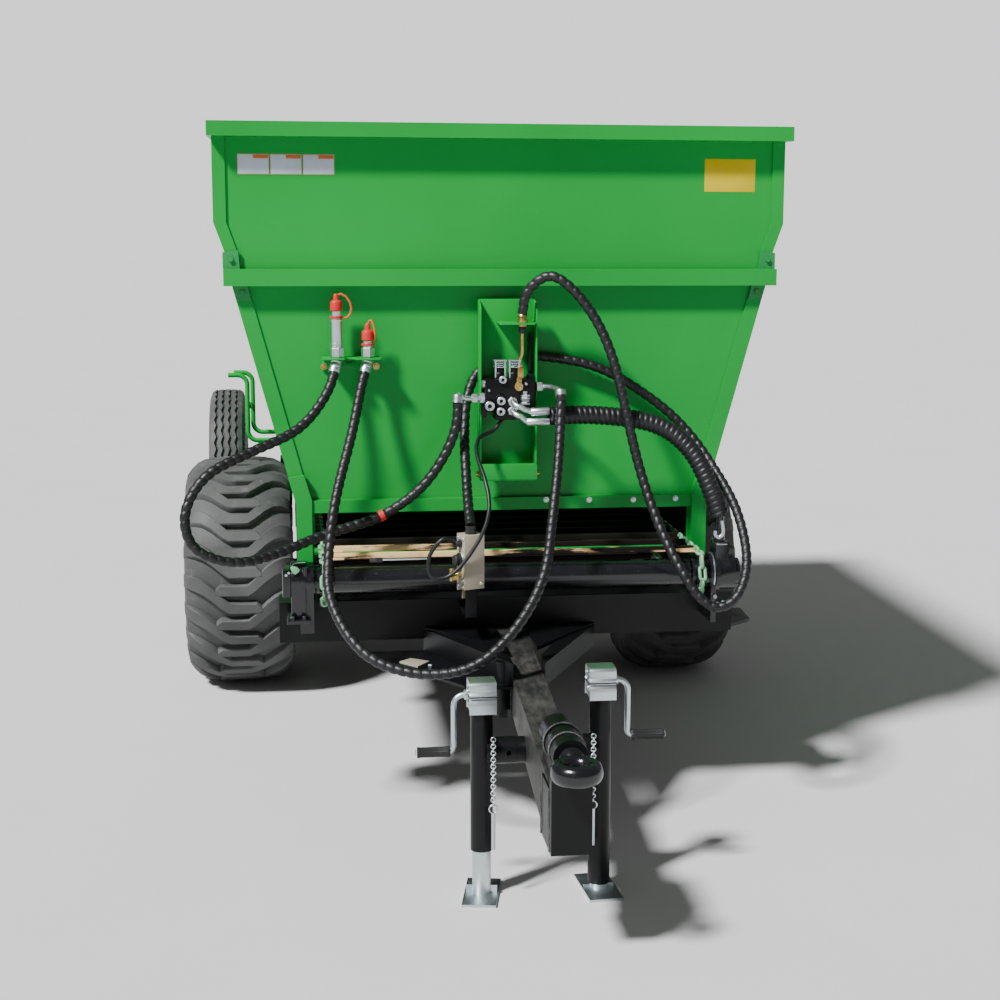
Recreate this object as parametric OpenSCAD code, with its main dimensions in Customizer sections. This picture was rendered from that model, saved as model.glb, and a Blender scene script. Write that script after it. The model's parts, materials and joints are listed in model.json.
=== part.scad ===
// Trailed compost spreader with a chain-and-slat floor and two spinning discs at the rear.
// Millimetres. X is across the machine, Y runs from the tow eye (-) to the discs (+), Z is up from the ground.

/* [Hopper] */
// Length of the hopper, front panel to rear panel
hopper_len = 2400; // [2000:50:3000]
// Outer width of the hopper at its bottom edge
hopper_low_w = 1268; // [1200:4:1268]
// Outer width of the lower hopper at the top of the band
hopper_mid_w = 1652; // [1600:4:1660]
// Outer width of the upper boards
hopper_top_w = 1726; // [1700:2:1800]
// Height of the hopper's bottom edge
hopper_base_z = 935; // [925:5:960]
// Height of the band's underside
band_z = 1600; // [1500:10:1700]
// Height of the band rail
band_h = 50; // [40:2:70]
// How far the band rail stands out in front of the panel
band_d = 45; // [30:5:60]
// Height of the top of the rim
top_z = 2076; // [1950:2:2200]
// Height of the rim flange
rim_h = 43; // [30:1:60]
// Depth of the rim flange at the sides and the rear, outwards from the boards
rim_d = 12; // [8:1:20]
// How far the rim stands out in front of the upper board
rim_front = 58; // [40:2:70]
// Sheet thickness of the hopper
sheet = 5; // [4:1:8]
// Width of the folded strip along each front corner
corner_w = 46; // [30:2:60]

/* [Chassis] */
// Width of each longitudinal rail
rail_w = 56; // [44:2:56]
// Height of each longitudinal rail
rail_h = 90; // [70:2:100]
// Outer distance over the two rails
rails_over = 1268; // [1240:4:1268]
// Wall of the box sections
box_wall = 6; // [4:1:8]
// Length of the front crossbeam
beam_len = 1370; // [1300:10:1420]
// Height of the front crossbeam
beam_h = 122; // [100:2:140]
// Depth of the front crossbeam, front to back
beam_d = 120; // [100:5:140]
// Gap from the crossbeam's rear face to the front panel
beam_set = 30; // [30:5:60]
// Height of the top of the crossbeam
beam_z = 668; // [640:2:668]

/* [Drawbar] */
// Distance from the front panel to the drawbar's front end
bar_reach = 1300; // [1200:20:1500]
// Width of the drawbar
bar_w = 90; // [84:2:104]
// Height of the underside of the hitch head
head_z = 300; // [280:5:340]
// Height of the tow eye's centre
eye_z = 535; // [525:1:560]
// Outer diameter of the tow eye
eye_d = 126; // [110:2:150]
// Bore of the tow eye
eye_bore = 50; // [40:1:54]
// Distance from the drawbar's front end to the tow eye's centre
eye_reach = 94; // [90:2:140]
// Radius of the eye's housing
housing_r = 45; // [40:1:50]

/* [Jacks] */
// Distance from the machine's middle to each jack
jack_x = 160; // [155:1:190]
// Distance from the front panel to the jacks
jack_y = 820; // [780:10:900]
// Outer diameter of the jack's outer tube
jack_d = 60; // [54:1:64]
// Outer diameter of the jack's inner tube
jack_leg_d = 50; // [42:1:52]
// Height of the pivot that the jacks swing on
jack_pivot_z = 403; // [395:1:410]
// Width of the foot plate
foot_w = 92; // [80:2:110]
// Length of the foot plate, along the machine
foot_len = 190; // [150:5:200]
// Length of the crank's arm
crank_len = 155; // [130:5:170]

/* [Wheels] */
// Distance between the wheels' middle planes
track = 1697; // [1697:1:1760]
// Outer diameter of the tyres
tyre_d = 874; // [840:2:880]
// Width of the tyres
tyre_w = 404; // [360:2:404]
// Diameter of the rim's bead seat
rim_seat_d = 394; // [390:2:400]
// Distance from the axle to the rear panel
axle_set = 887; // [850:1:1000]
// Side of the square axle beam
axle_box = 100; // [80:5:120]
// Outer diameter of the spare tyre
spare_d = 750; // [700:10:760]
// Width of the spare tyre
spare_w = 150; // [140:5:160]

/* [Conveyor] */
// Height of the roller's axis
roller_z = 752; // [752:1:760]
// Distance of the front roller's axis in front of the front panel
roller_y = 240; // [230:5:260]
// Diameter of the roller tube
roller_d = 76; // [60:2:90]
// Radius of the sprockets
sprocket_r = 55.5; // [50:0.5:56]
// Thickness of the chain across its loop
chain_t = 12; // [8:1:14]
// Distance between the two chains
chain_gap = 1120; // [1080:4:1120]
// Height of a slat
slat_h = 12; // [8:1:12]
// Width of a slat along the belt
slat_w = 42; // [30:2:60]
// Number of slats on the upper run
slat_count = 14; // [6:1:16]

/* [Valve bracket] */
// Width of the channel
bracket_w = 173; // [160:1:190]
// Depth of the channel's flanges
bracket_d = 66; // [50:2:80]
// Height of the channel's top
bracket_top = 1562; // [1500:2:1590]
// Height of the channel's bottom
bracket_low = 1022; // [1000:2:1100]
// Gap behind the channel, which a hose passes through
bracket_gap = 50; // [46:1:60]

/* [Spreading discs] */
// Diameter of each disc
disc_d = 540; // [460:10:560]
// Distance between the discs' axes
disc_gap = 580; // [576:2:620]
// Height of the discs
disc_z = 575; // [540:5:590]
// Distance from the rear panel to the discs' axes
disc_reach = 340; // [330:5:400]

/* [Hoses] */
// Outer diameter of the guarded hydraulic hoses
hose_d = 30; // [24:1:30]
// Outer diameter of the two motor hoses in their shared guard
motor_hose_d = 56; // [40:2:56]
// Outer diameter of the control wires
wire_d = 12; // [8:1:12]

/* [Fits] */
// Radial running clearance of shafts in their bores
run_gap = 0.05; // [0.02:0.01:0.1]
// Gap between pieces that move past each other
air = 0.5; // [0.3:0.1:1]

/* [Hidden] */

$fn = 48;
axle_y = hopper_len - axle_set;
low_x = hopper_low_w / 2;
mid_x = hopper_mid_w / 2;
top_x = hopper_top_w / 2;
kink_z = band_z + band_h + 136;
kink_start_z = band_z + band_h + 48;
flare_x = mid_x + 6;
band_top = band_z + band_h;
rail_x = rails_over / 2 - rail_w / 2;
rail_top = beam_z + rail_h;
beam_back = -beam_set;
beam_front = beam_back - beam_d;
sill_x = rail_x - rail_w / 2 + 6;
nose_reach = bar_reach + eye_reach + eye_d / 2;
tail_reach = hopper_len + disc_reach + disc_d / 2;
front_y = (nose_reach - tail_reach) / 2;
chain_x = chain_gap / 2;
chain_w = 24;
belt_rear = hopper_len + 60;
slat_reach = sprocket_r + air + chain_t;
floor_top = roller_z + sprocket_r + air - 0.5;
steel_black = "#17181a";
body_green = "#22b24c";
zinc = "#b9c2c6";
hose_black = "#141414";

// ---------- shared shapes ----------

// A block given by its lowest and highest corners.
module block(low, high) {
    translate(low) cube(high - low);
}

// A cylinder along X, Y or Z from one place on that axis to another.
module rod_x(r, x0, x1, y, z) {
    translate([x0, y, z]) rotate([0, 90, 0]) cylinder(r = r, h = x1 - x0);
}
module rod_y(r, y0, y1, x, z) {
    translate([x, y0, z]) rotate([-90, 0, 0]) cylinder(r = r, h = y1 - y0);
}
module rod_z(r, z0, z1, x, y) {
    translate([x, y, z0]) cylinder(r = r, h = z1 - z0);
}

// A hexagon bolt head with its washer, facing -Y.
module bolt_front(x, y, z, size) {
    translate([x, y, z]) rotate([90, 0, 0]) {
        cylinder(r = size * 1.1, h = size * 0.2);
        cylinder(r = size, h = size * 0.9, $fn = 6);
    }
}

// A flat shape drawn in X and Z, made solid from y0 to y1.
module slab_y(y0, y1, points) {
    translate([0, y1, 0]) rotate([90, 0, 0]) linear_extrude(y1 - y0) polygon(points);
}

// A flat shape drawn in Y and Z, made solid from x0 to x1.
module slab_x(x0, x1, points) {
    translate([x0, 0, 0]) rotate([90, 0, 90]) linear_extrude(x1 - x0) polygon(points);
}

// Both sides of the machine.
module both_sides() {
    children();
    mirror([1, 0, 0]) children();
}

// Places a piece in the machine's frame, whose origin is on the ground under the middle.
module in_frame() {
    translate([0, front_y, 0]) children();
}

// ---------- cords ----------

function unit(v) = v / norm(v);
function spline_at(p, i, t) =
    let (a = p[max(i - 1, 0)], b = p[i], c = p[i + 1], d = p[min(i + 2, len(p) - 1)])
    0.5 * (2 * b + (c - a) * t + (2 * a - 5 * b + 4 * c - d) * t * t
        + (3 * b - a - 3 * c + d) * t * t * t);
function spline(p, steps) = concat(
    [for (i = [0 : len(p) - 2], j = [0 : steps - 1]) spline_at(p, i, j / steps)],
    [p[len(p) - 1]]);
function square_to(v, t) = unit(v - (v * t) * t);

// A round tube swept along points, closed at both ends.
module cord(points, d, steps, sides = 8) {
    path = spline(points, steps);
    last = len(path) - 1;
    along = [for (i = [0 : last]) unit(path[min(i + 1, last)] - path[max(i - 1, 0)])];
    side = [for (i = 0, n = square_to([0.13, 0.98, 0.17], along[0]); i <= last;
        i = i + 1, n = square_to(n, along[min(i, last)])) n];
    rings = [for (i = [0 : last], k = [0 : sides - 1])
        let (turn = 360 * k / sides)
        path[i] + d / 2 * (cos(turn) * side[i] + sin(turn) * cross(along[i], side[i]))];
    walls = [for (i = [0 : last - 1], k = [0 : sides - 1])
        let (a = i * sides + k, b = i * sides + (k + 1) % sides)
        [b, a, a + sides, b + sides]];
    start = [for (k = [0 : sides - 1]) k];
    finish = [for (k = [sides - 1 : -1 : 0]) last * sides + k];
    polyhedron(points = rings, faces = concat(walls, [start, finish]));
}

// Routes, measured from the front panel's middle at ground level.
supply_route = [[-508, -60, 1380], [-536, -110, 1290], [-621, -180, 1190], [-765, -260, 1136],
    [-890, -330, 1083], [-950, -362, 985], [-935, -370, 891], [-867, -370, 846], [-784, -350, 832],
    [-685, -300, 850], [-540, -225, 892], [-391, -185, 926], [-272, -175, 1004],
    [-200, -172, 1100], [-162, -165, 1190], [-156, -156, 1262]];
return_route = [[-416, -60, 1380], [-440, -100, 1300], [-470, -190, 1180], [-526, -300, 1000],
    [-550, -360, 837], [-548, -440, 738], [-495, -520, 641], [-415, -575, 581], [-280, -615, 556],
    [-145, -645, 590], [-29, -600, 689], [52, -530, 812], [90, -410, 947], [124, -300, 1106],
    [138, -240, 1233], [142, -226, 1290]];
remote_route = [[40, -118, 1520], [52, -125, 1590], [117, -150, 1640], [189, -170, 1592],
    [261, -190, 1491], [310, -215, 1359], [348, -232, 1182], [385, -250, 1035], [428, -320, 893],
    [477, -390, 783], [530, -420, 703], [585, -430, 680], [644, -425, 720], [680, -370, 815],
    [671, -260, 948], [625, -130, 1060], [559, -70, 1160], [461, -45, 1251], [290, -40, 1355],
    [116, -25, 1388], [15, -25, 1384], [-83, -25, 1346], [-123, -62, 1259], [-134, -120, 1144],
    [-136, -200, 1040], [-140, -300, 965], [-140, -361, 927]];
motor_route = [[112, -190, 1223], [232, -172, 1224], [384, -168, 1208], [478, -180, 1176],
    [552, -205, 1104], [594, -230, 1010], [624, -240, 924]];
wires_route = [[-185, -377, 880], [-222, -402, 905], [-266, -400, 850], [-262, -405, 790],
    [-215, -405, 785], [-169, -405, 822], [-112, -400, 905], [-86, -380, 985], [-95, -330, 1060],
    [-112, -250, 1120], [-98, -175, 1160], [-50, -135, 1172], [-20, -122, 1205]];

// ---------- chassis ----------

module crossbeam() {
    half = beam_len / 2;
    low = beam_z - beam_h;
    color(steel_black) {
        difference() {
            block([-half, beam_front, low], [half, beam_back, beam_z]);
            block([-half - 1, beam_front + box_wall, low + box_wall],
                [half + 1, beam_back - box_wall, beam_z - box_wall]);
        }
        both_sides() block([half, beam_front, low], [half + box_wall, beam_back, beam_z]);
        translate([half + box_wall, beam_front, low + 10]) linear_extrude(10)
            polygon([[-1, 0], [58, 46], [76, 62], [84, beam_d + 90], [-1, beam_d + 90]]);
    }
}

module chassis_rails() {
    far = belt_rear - 60;
    color(steel_black) both_sides() {
        difference() {
            block([rail_x - rail_w / 2, beam_front, beam_z], [rail_x + rail_w / 2, far, rail_top]);
            block([rail_x - rail_w / 2 + box_wall, beam_front - 1, beam_z + box_wall],
                [rail_x + rail_w / 2 - box_wall, far + 1, rail_top - box_wall]);
        }
        for (y = [axle_y - 200, axle_y + 140])
            block([rail_x - rail_w / 2 + 4, y, tyre_d / 2 + axle_box / 2],
                [rail_x - rail_w / 2 + 16, y + 60, beam_z]);
    }
    color(steel_black) for (y = [hopper_len * 0.3, hopper_len * 0.8])
        difference() {
            block([-rail_x - rail_w / 2, y, beam_z - 60], [rail_x + rail_w / 2, y + 80, beam_z]);
            block([-rail_x - rail_w, y + box_wall, beam_z - 60 + box_wall],
                [rail_x + rail_w, y + 80 - box_wall, beam_z - box_wall]);
        }
}

bar_front = -bar_reach;
head_top = eye_z - housing_r - 2;
bar_top = head_top - 36;
bar_rear_top = beam_z - 88;

// Height of the drawbar's top face at a place along it.
function bar_top_at(y) = bar_top + (y - bar_front) * (bar_rear_top - bar_top) / (beam_front - bar_front);

// Side outline of the drawbar, grown inwards by t.
function bar_outline(t, back) = [[back, bar_rear_top - t], [bar_front + t, bar_top - t],
    [bar_front + t, head_z + t], [bar_front + 100, head_z + t], [-850, head_z + 70 + t],
    [back, beam_z - beam_h + t - 40]];

module drawbar() {
    color(steel_black) difference() {
        slab_x(-bar_w / 2, bar_w / 2, bar_outline(0, beam_front));
        slab_x(-bar_w / 2 + box_wall, bar_w / 2 - box_wall, bar_outline(box_wall, beam_front + 20));
        rod_x(jack_d / 2, -bar_w, bar_w, -jack_y, jack_pivot_z);
    }
}

module hitch_head() {
    plate = 16;
    face = bar_front - 2 * plate;
    color(steel_black) {
        block([-bar_w / 2 - 5, face, head_z - 2], [bar_w / 2 + 5, bar_front, head_top]);
        both_sides() block([bar_w / 2, bar_front, head_z - 2], [bar_w / 2 + 5, bar_front + 130, bar_top]);
    }
}

housing_back = bar_front + 210;
housing_front = bar_front - 10;
shank_r = housing_r * 0.6;

module eye_housing() {
    color(steel_black) {
        difference() {
            union() {
                rod_y(housing_r, housing_front + 60, housing_back, 0, eye_z);
                rod_y(housing_r + 3, housing_back - 100, housing_back - 88, 0, eye_z);
                rod_y(housing_r - 2, housing_front, housing_front + 60, 0, eye_z);
                slab_x(-bar_w / 2 + 8, bar_w / 2 - 8, [[bar_front, bar_top_at(bar_front)],
                    [housing_back - 10, bar_top_at(housing_back - 10)],
                    [housing_back - 10, eye_z], [bar_front, eye_z]]);
            }
            rod_y(shank_r + run_gap, housing_front - 1, housing_back - 30, 0, eye_z);
        }
    }
}

// Half of the straight part of the ring's section, and how far the ring hangs below the shank.
eye_half = 8;
eye_drop = 8;
module tow_eye() {
    y = bar_front - eye_reach;
    ring = (eye_d - eye_bore) / 4;
    z = eye_z - eye_drop;
    color(steel_black) difference() {
        union() {
            rod_y(shank_r, housing_front - 6, housing_back - 40, 0, eye_z);
            rod_y(shank_r + 8, housing_front - 14, housing_front - air, 0, eye_z);
            for (lift = [-eye_half, eye_half]) translate([0, y, z + lift]) rotate_extrude($fn = 64)
                translate([eye_d / 2 - ring, 0]) circle(r = ring, $fn = 40);
            translate([0, y, z]) cylinder(r = eye_d / 2 - 0.5, h = 2 * eye_half, center = true);
            translate([0, y, z]) cylinder(r = eye_bore / 2 + ring, h = 2 * eye_half + 24, center = true);
            rod_y(24, y + eye_bore / 2 + 6, housing_front - 6, 0, eye_z);
        }
        rod_z(eye_bore / 2, z - 60, z + 60, 0, y);
    }
}

// The two diagonal box braces and the gusset plate beside them.
module braces() {
    top = beam_z - 92;
    tall = 66;
    color(steel_black) {
        both_sides() translate([0, 0, top - tall]) linear_extrude(tall)
            polygon([[bar_w / 2, -590], [bar_w / 2, -500], [190, beam_front], [262, beam_front]]);
        translate([0, 0, top - tall - 8]) linear_extrude(8)
            polygon([[-bar_w / 2, -590], [-bar_w / 2, beam_front], [-455, beam_front], [-180, -560]]);
        rod_z(21, 411, top - 6, -bar_w / 2 - 22, -530);
        both_sides() translate([0, 0, top - 4]) linear_extrude(10)
            polygon([[bar_w / 2, -430], [bar_w / 2, beam_front], [262, beam_front]]);
    }
}

// The cross tube that both jacks swing on, with a stop collar on each side of the drawbar.
spigot_r = jack_d / 2;
spigot_end = jack_x - jack_d / 2 - 9;
sleeve_in = bar_w / 2 + 24;
pin_r = 6;
pin_x = sleeve_in + 22;

module jack_spigot() {
    color(steel_black) difference() {
        union() {
            rod_x(spigot_r, -spigot_end, spigot_end, -jack_y, jack_pivot_z);
            both_sides() rod_x(spigot_r + 5, bar_w / 2, sleeve_in - air, -jack_y, jack_pivot_z);
        }
        rod_x(spigot_r - 7, -spigot_end - 1, spigot_end + 1, -jack_y, jack_pivot_z);
        both_sides() rod_y(pin_r + 0.3, -jack_y - 60, -jack_y + 60, pin_x, jack_pivot_z);
    }
}

// ---------- jacks ----------

// Height of the outer tube's lower end and top, on the left and on the right.
tube_low = [129, 22];
tube_top = [512, 540];
foot_t = 8;

module jack_tube(side) {
    i = side < 0 ? 0 : 1;
    x = side * jack_x;
    color(steel_black) difference() {
        union() {
            rod_z(jack_d / 2, tube_low[i], tube_top[i], x, -jack_y);
            scale_x(side) {
                rod_x(spigot_r + 6, sleeve_in, jack_x - 10, -jack_y, jack_pivot_z);
                rod_y(hook_r, hang_y - 6, -jack_y - 10, hang_x, hook_z + link_r - link_wire - hook_r - 0.3);
            }
        }
        rod_z(jack_leg_d / 2 + run_gap, tube_low[i] - 1, tube_top[i] - 20, x, -jack_y);
        scale_x(side) {
            rod_x(spigot_r + run_gap, sleeve_in - 1, spigot_end + 1, -jack_y, jack_pivot_z);
            rod_y(pin_r + 0.3, -jack_y - 60, -jack_y + 60, pin_x, jack_pivot_z);
        }
    }
}

module scale_x(side) {
    mirror([side < 0 ? 1 : 0, 0, 0]) children();
}

// The folded gear cover on top of the tube.
head_w = 72;
crank_r = 8;
module jack_head(side) {
    i = side < 0 ? 0 : 1;
    z = tube_top[i];
    color(zinc) translate([side * jack_x, -jack_y, z]) difference() {
        rotate([90, 0, 90]) translate([0, 0, -head_w / 2]) linear_extrude(head_w)
            polygon([[-36, 0], [-36, 36], [-30, 44], [-30, 50], [-36, 58], [-30, 84], [30, 84],
                [36, 58], [36, 0]]);
        rotate([90, 0, 90]) translate([0, 0, -head_w / 2 + 4]) linear_extrude(head_w - 8)
            polygon([[-32, 3], [-32, 34], [-26, 43], [-26, 51], [-32, 58], [-27, 80], [27, 80],
                [32, 57], [32, 3]]);
        translate([-head_w, 0, 47]) rotate([0, 90, 0]) cylinder(r = crank_r + run_gap, h = 2 * head_w);
    }
}

module jack_leg(side) {
    i = side < 0 ? 0 : 1;
    x = side * jack_x;
    top = tube_top[i] - (side < 0 ? 140 : 60);
    rib = side < 0 ? 20 : 8;
    turn = side < 0 ? -11 : 4;
    color(zinc) {
        difference() {
            rod_z(jack_leg_d / 2, foot_t / 2, top, x, -jack_y);
            rod_z(jack_leg_d / 2 - 5, foot_t + 10, top + 1, x, -jack_y);
        }
        translate([x, -jack_y, 0]) rotate([0, 0, turn]) {
            translate([-foot_w / 2, -foot_len / 2, 0]) cube([foot_w, foot_len, foot_t]);
            translate([-foot_w / 2 + 4, -3, foot_t / 2]) cube([foot_w - 8, 6, foot_t / 2 + rib]);
        }
    }
}

// The side-wind crank: a shaft through the gear cover, an arm that hangs down, and the grip's pin.
grip_pin_r = 6;
grip_len = 92;
module jack_crank(side) {
    i = side < 0 ? 0 : 1;
    z = tube_top[i] + 47;
    out = head_w / 2 + 38;
    color(zinc) scale_x(side) translate([jack_x, -jack_y, z]) {
        rod_x(crank_r, -head_w / 2 + 1, out, 0, 0);
        rod_x(crank_r + 6, head_w / 2 + air, head_w / 2 + 8, 0, 0);
        translate([out, 0, 0]) sphere(r = crank_r);
        rod_z(crank_r, -crank_len, 0, out, 0);
        translate([out, 0, -crank_len]) sphere(r = crank_r);
        rod_x(grip_pin_r, out, out + grip_len + 12, 0, -crank_len);
        rod_x(grip_pin_r + 3, out + grip_len + 8, out + grip_len + 12, 0, -crank_len);
    }
}

module crank_grip(side) {
    i = side < 0 ? 0 : 1;
    z = tube_top[i] + 47 - crank_len;
    out = jack_x + head_w / 2 + 38;
    color("#26282a") scale_x(side) difference() {
        union() {
            rod_x(14, out + crank_r + air, out + grip_len + 7, -jack_y, z);
            for (x = [out + 20 : 16 : out + grip_len]) rod_x(15, x, x + 10, -jack_y, z);
        }
        rod_x(grip_pin_r + run_gap, out, out + grip_len + 13, -jack_y, z);
    }
}

// The swing lock's pull pin, drawn out and hanging on its chain from a hook on the tube.
link_r = 6;
link_wire = 1.7;
link_count = 20;
hook_z = 447;
hook_r = 2.5;
hang_x = jack_x - jack_d / 2 + 4;
hang_y = -jack_y - spigot_r - 18;
module jack_pin(side) {
    pitch = 2 * (link_r - link_wire) + 0.6;
    low = hook_z - pitch * (link_count - 1);
    color(zinc) scale_x(side) {
        for (k = [0 : link_count - 1]) translate([hang_x, hang_y, hook_z - pitch * k])
            rotate([0, 0, 90 * (k % 2)]) chain_link();
        translate([hang_x, hang_y, low - link_r - 10]) rotate([90, 0, 0])
            rotate_extrude($fn = 24) translate([11, 0]) circle(r = 2, $fn = 13);
        rod_z(pin_r - 0.4, low - 128, low - link_r - 19, hang_x, hang_y);
    }
}

// One upright chain link.
module chain_link() {
    rotate([90, 0, 0]) rotate_extrude($fn = 20) translate([link_r, 0]) circle(r = link_wire, $fn = 13);
}

// ---------- wheels ----------

stub_r = 32;
hub_x = track / 2;
module axle() {
    z = tyre_d / 2;
    inner = rail_x + rail_w / 2;
    color(steel_black) difference() {
        union() {
            block([-inner, axle_y - axle_box / 2, z - axle_box / 2],
                [inner, axle_y + axle_box / 2, z + axle_box / 2]);
            rod_x(stub_r, -hub_x - 60, hub_x + 60, axle_y, z);
            both_sides() block([rail_x - rail_w / 2 + 4, axle_y - 200, z + axle_box / 2 - 12],
                [rail_x + rail_w / 2, axle_y + 200, z + axle_box / 2]);
        }
        block([-inner + 20, axle_y - axle_box / 2 + box_wall, z - axle_box / 2 + box_wall],
            [inner - 20, axle_y + axle_box / 2 - box_wall, z + axle_box / 2 - box_wall]);
    }
}

// A steel wheel: drop-centre rim, disc, hub, cap and ten studs. Its outer side faces +X.
module wheel(seat_d, width, stub, studs) {
    seat = seat_d / 2;
    half = width / 2;
    rotate([0, 90, 0]) rotate_extrude($fn = 96) polygon([[seat - 8, -half], [seat + 16, -half],
        [seat + 16, -half + 6], [seat, -half + 8], [seat, -half * 0.6], [seat - 14, -half * 0.45],
        [seat - 14, half * 0.45], [seat, half * 0.6], [seat, half - 8], [seat + 16, half - 6],
        [seat + 16, half], [seat - 8, half], [seat - 8, half * 0.6], [seat - 22, half * 0.42],
        [seat - 22, -half * 0.42], [seat - 8, -half * 0.6]]);
    difference() {
        union() {
            rod_x(seat - 17, -5, 5, 0, 0);
            rod_x(stub + 34, -60, 36, 0, 0);
            rod_x(stub + 12, 36, 74, 0, 0);
            for (k = [0 : studs - 1]) rotate([360 * k / studs, 0, 0])
                rod_x(11, 0, 24, 0, stub + 52);
        }
        rod_x(stub + run_gap, -61, 66, 0, 0);
        for (k = [0 : studs - 1]) rotate([360 * (k + 0.5) / studs, 0, 0])
            rod_x(14, -6, 6, 0, seat * 0.76);
    }
}

module rim(side) {
    color("#1c1d1f") translate([side * hub_x, axle_y, tyre_d / 2]) scale_x(side)
        wheel(rim_seat_d, tyre_w - 74, stub_r, 10);
}

// A tyre with rounded shoulders, standing on the rim's bead seats.
module tyre_ring(d, width, seat_d, crown) {
    r = d / 2;
    half = width / 2;
    bead = half - 37 * width / 404;
    seat = seat_d / 2 + 0.3;
    rotate([0, 90, 0]) rotate_extrude($fn = 120) polygon([[seat, -bead + 9], [seat + 18, -bead + 9],
        [seat + 40, -half + 6], [(r + seat) / 2, -half], [r - 60, -half + 4], [r - 28, -half * 0.93],
        [r - 9, -half * 0.8], [r, -half * crown], [r, half * crown], [r - 9, half * 0.8],
        [r - 28, half * 0.93], [r - 60, half - 4], [(r + seat) / 2, half], [seat + 40, half - 6],
        [seat + 18, bead - 9], [seat, bead - 9], [seat, bead - 34], [seat + 40, bead - 20],
        [r - 40, half - 50 * width / 404], [r - 34, 0], [r - 40, -half + 50 * width / 404],
        [seat + 40, -bead + 20], [seat, -bead + 34]]);
}

module tyre(side) {
    color("#1b1b1c") translate([side * hub_x, axle_y, tyre_d / 2]) tyre_ring(tyre_d, tyre_w, rim_seat_d, 0.5);
}

spare_x = -(top_x + 50);
spare_y = hopper_len - 60;
spare_z = 680;
spare_seat_d = 406;
module spare_rim() {
    color("#1c1d1f") translate([spare_x, spare_y, spare_z]) mirror([1, 0, 0])
        wheel(spare_seat_d, spare_w - 28, 26, 6);
}
module spare_tyre() {
    color("#202021") translate([spare_x, spare_y, spare_z]) tyre_ring(spare_d, spare_w, spare_seat_d, 0.6);
}

// The bracket that carries the spare wheel on the left rail.
module spare_carrier() {
    inner = -rail_x - rail_w / 2;
    plate = spare_x + 60;
    color(steel_black) {
        rod_x(26, spare_x - 30, plate, spare_y, spare_z);
        block([plate, spare_y - 70, spare_z - 70], [plate + 12, spare_y + 70, spare_z + 70]);
        block([inner - 60, spare_y - 60, spare_z - 40], [inner, spare_y + 60, rail_top]);
        block([plate + 12, spare_y - 30, spare_z - 30], [inner - 60, spare_y + 30, spare_z + 30]);
    }
}

// ---------- hopper ----------

// Half width of the lower hopper's outside at a height.
function wall_x(z) = low_x + (z - hopper_base_z) * (mid_x - low_x) / (band_top - hopper_base_z);

// The outside of one side wall from the bottom edge to the top, moved inwards by t.
function low_wall(t) = [[low_x - t, hopper_base_z], [mid_x - t, band_top]];
function high_wall(t) = [[flare_x - t, band_top], [flare_x - t, kink_start_z], [top_x - t, kink_z],
    [top_x - t, top_z]];
function back_down(points) = [for (i = [len(points) - 1 : -1 : 0]) points[i]];
function flip(points) = [for (i = [len(points) - 1 : -1 : 0]) [-points[i][0], points[i][1]]];

gate_w = 1000;
gate_h = 400;
strip_t = 6;
module hopper_shell() {
    far = hopper_len;
    color(body_green) {
        both_sides() {
            slab_y(0, far, concat(low_wall(0), back_down(low_wall(sheet))));
            block([sill_x - sheet, 0, hopper_base_z - sheet], [low_x, far, hopper_base_z]);
            block([sill_x - sheet, 0, rail_top], [sill_x, far, hopper_base_z]);
            slab_y(-strip_t, 0, concat([[low_x, hopper_base_z], [wall_x(band_z), band_z]],
                [[wall_x(band_z) - corner_w, band_z], [low_x - corner_w, hopper_base_z]]));
        }
        slab_y(0, sheet, concat(low_wall(0), flip(low_wall(0))));
        block([-low_x + corner_w, -24, hopper_base_z - 20], [low_x - corner_w, 0, hopper_base_z + 18]);
        difference() {
            slab_y(far - sheet, far, concat(low_wall(0), flip(low_wall(0))));
            block([-gate_w / 2, far - sheet - 1, hopper_base_z - 1],
                [gate_w / 2, far + 1, hopper_base_z + gate_h]);
        }
        both_sides() difference() {
            block([gate_w / 2 - 30, far, hopper_base_z - 5], [gate_w / 2 + 40, far + 26, band_z - 10]);
            block([gate_w / 2 - 31, far + 6 - air, hopper_base_z], [gate_w / 2 + 24, far + 14 + air, band_z]);
            block([gate_w / 2 - 31, far + 6, hopper_base_z - 6], [gate_w / 2 + 8, far + 27, band_z]);
        }
        block([-sill_x, -roller_y + 130, floor_top - 4], [sill_x, far - 30, floor_top]);
    }
}

module hopper_extension() {
    far = hopper_len;
    color(body_green) {
        both_sides() {
            slab_y(0, far, concat(high_wall(0), back_down(high_wall(sheet))));
            block([mid_x - 30, 0, band_top], [flare_x, far, band_top + sheet]);
            for (y = [-strip_t, far]) slab_y(y, y + strip_t, concat(high_wall(0), back_down(high_wall(38))));
            block([top_x - 34, -rim_d, top_z - rim_h], [top_x + rim_d, far + rim_d, top_z]);
        }
        for (y = [0, far - sheet]) slab_y(y, y + sheet, concat(high_wall(0), flip(high_wall(0))));
        block([-top_x - rim_d, -rim_front, top_z - rim_h], [top_x + rim_d, 34, top_z]);
        block([-top_x - rim_d, far - 34, top_z - rim_h], [top_x + rim_d, far + rim_d, top_z]);
    }
}

// The box rail that runs round the hopper where the upper boards begin.
module band_rail() {
    far = hopper_len;
    out = flare_x + 4;
    color(body_green) {
        for (y = [-band_d, far + strip_t])
            block([-out, y, band_z], [out, y + band_d - strip_t, band_top]);
        both_sides() {
            slab_y(0, far, [[wall_x(band_z) + 0.02, band_z], [wall_x(band_top) + 0.02, band_top],
                [out, band_top], [out, band_z]]);
            block([out - 16, -band_d, band_z], [out, 0, band_top]);
            block([out - 16, far, band_z], [out, far + band_d, band_top]);
        }
    }
}

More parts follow.
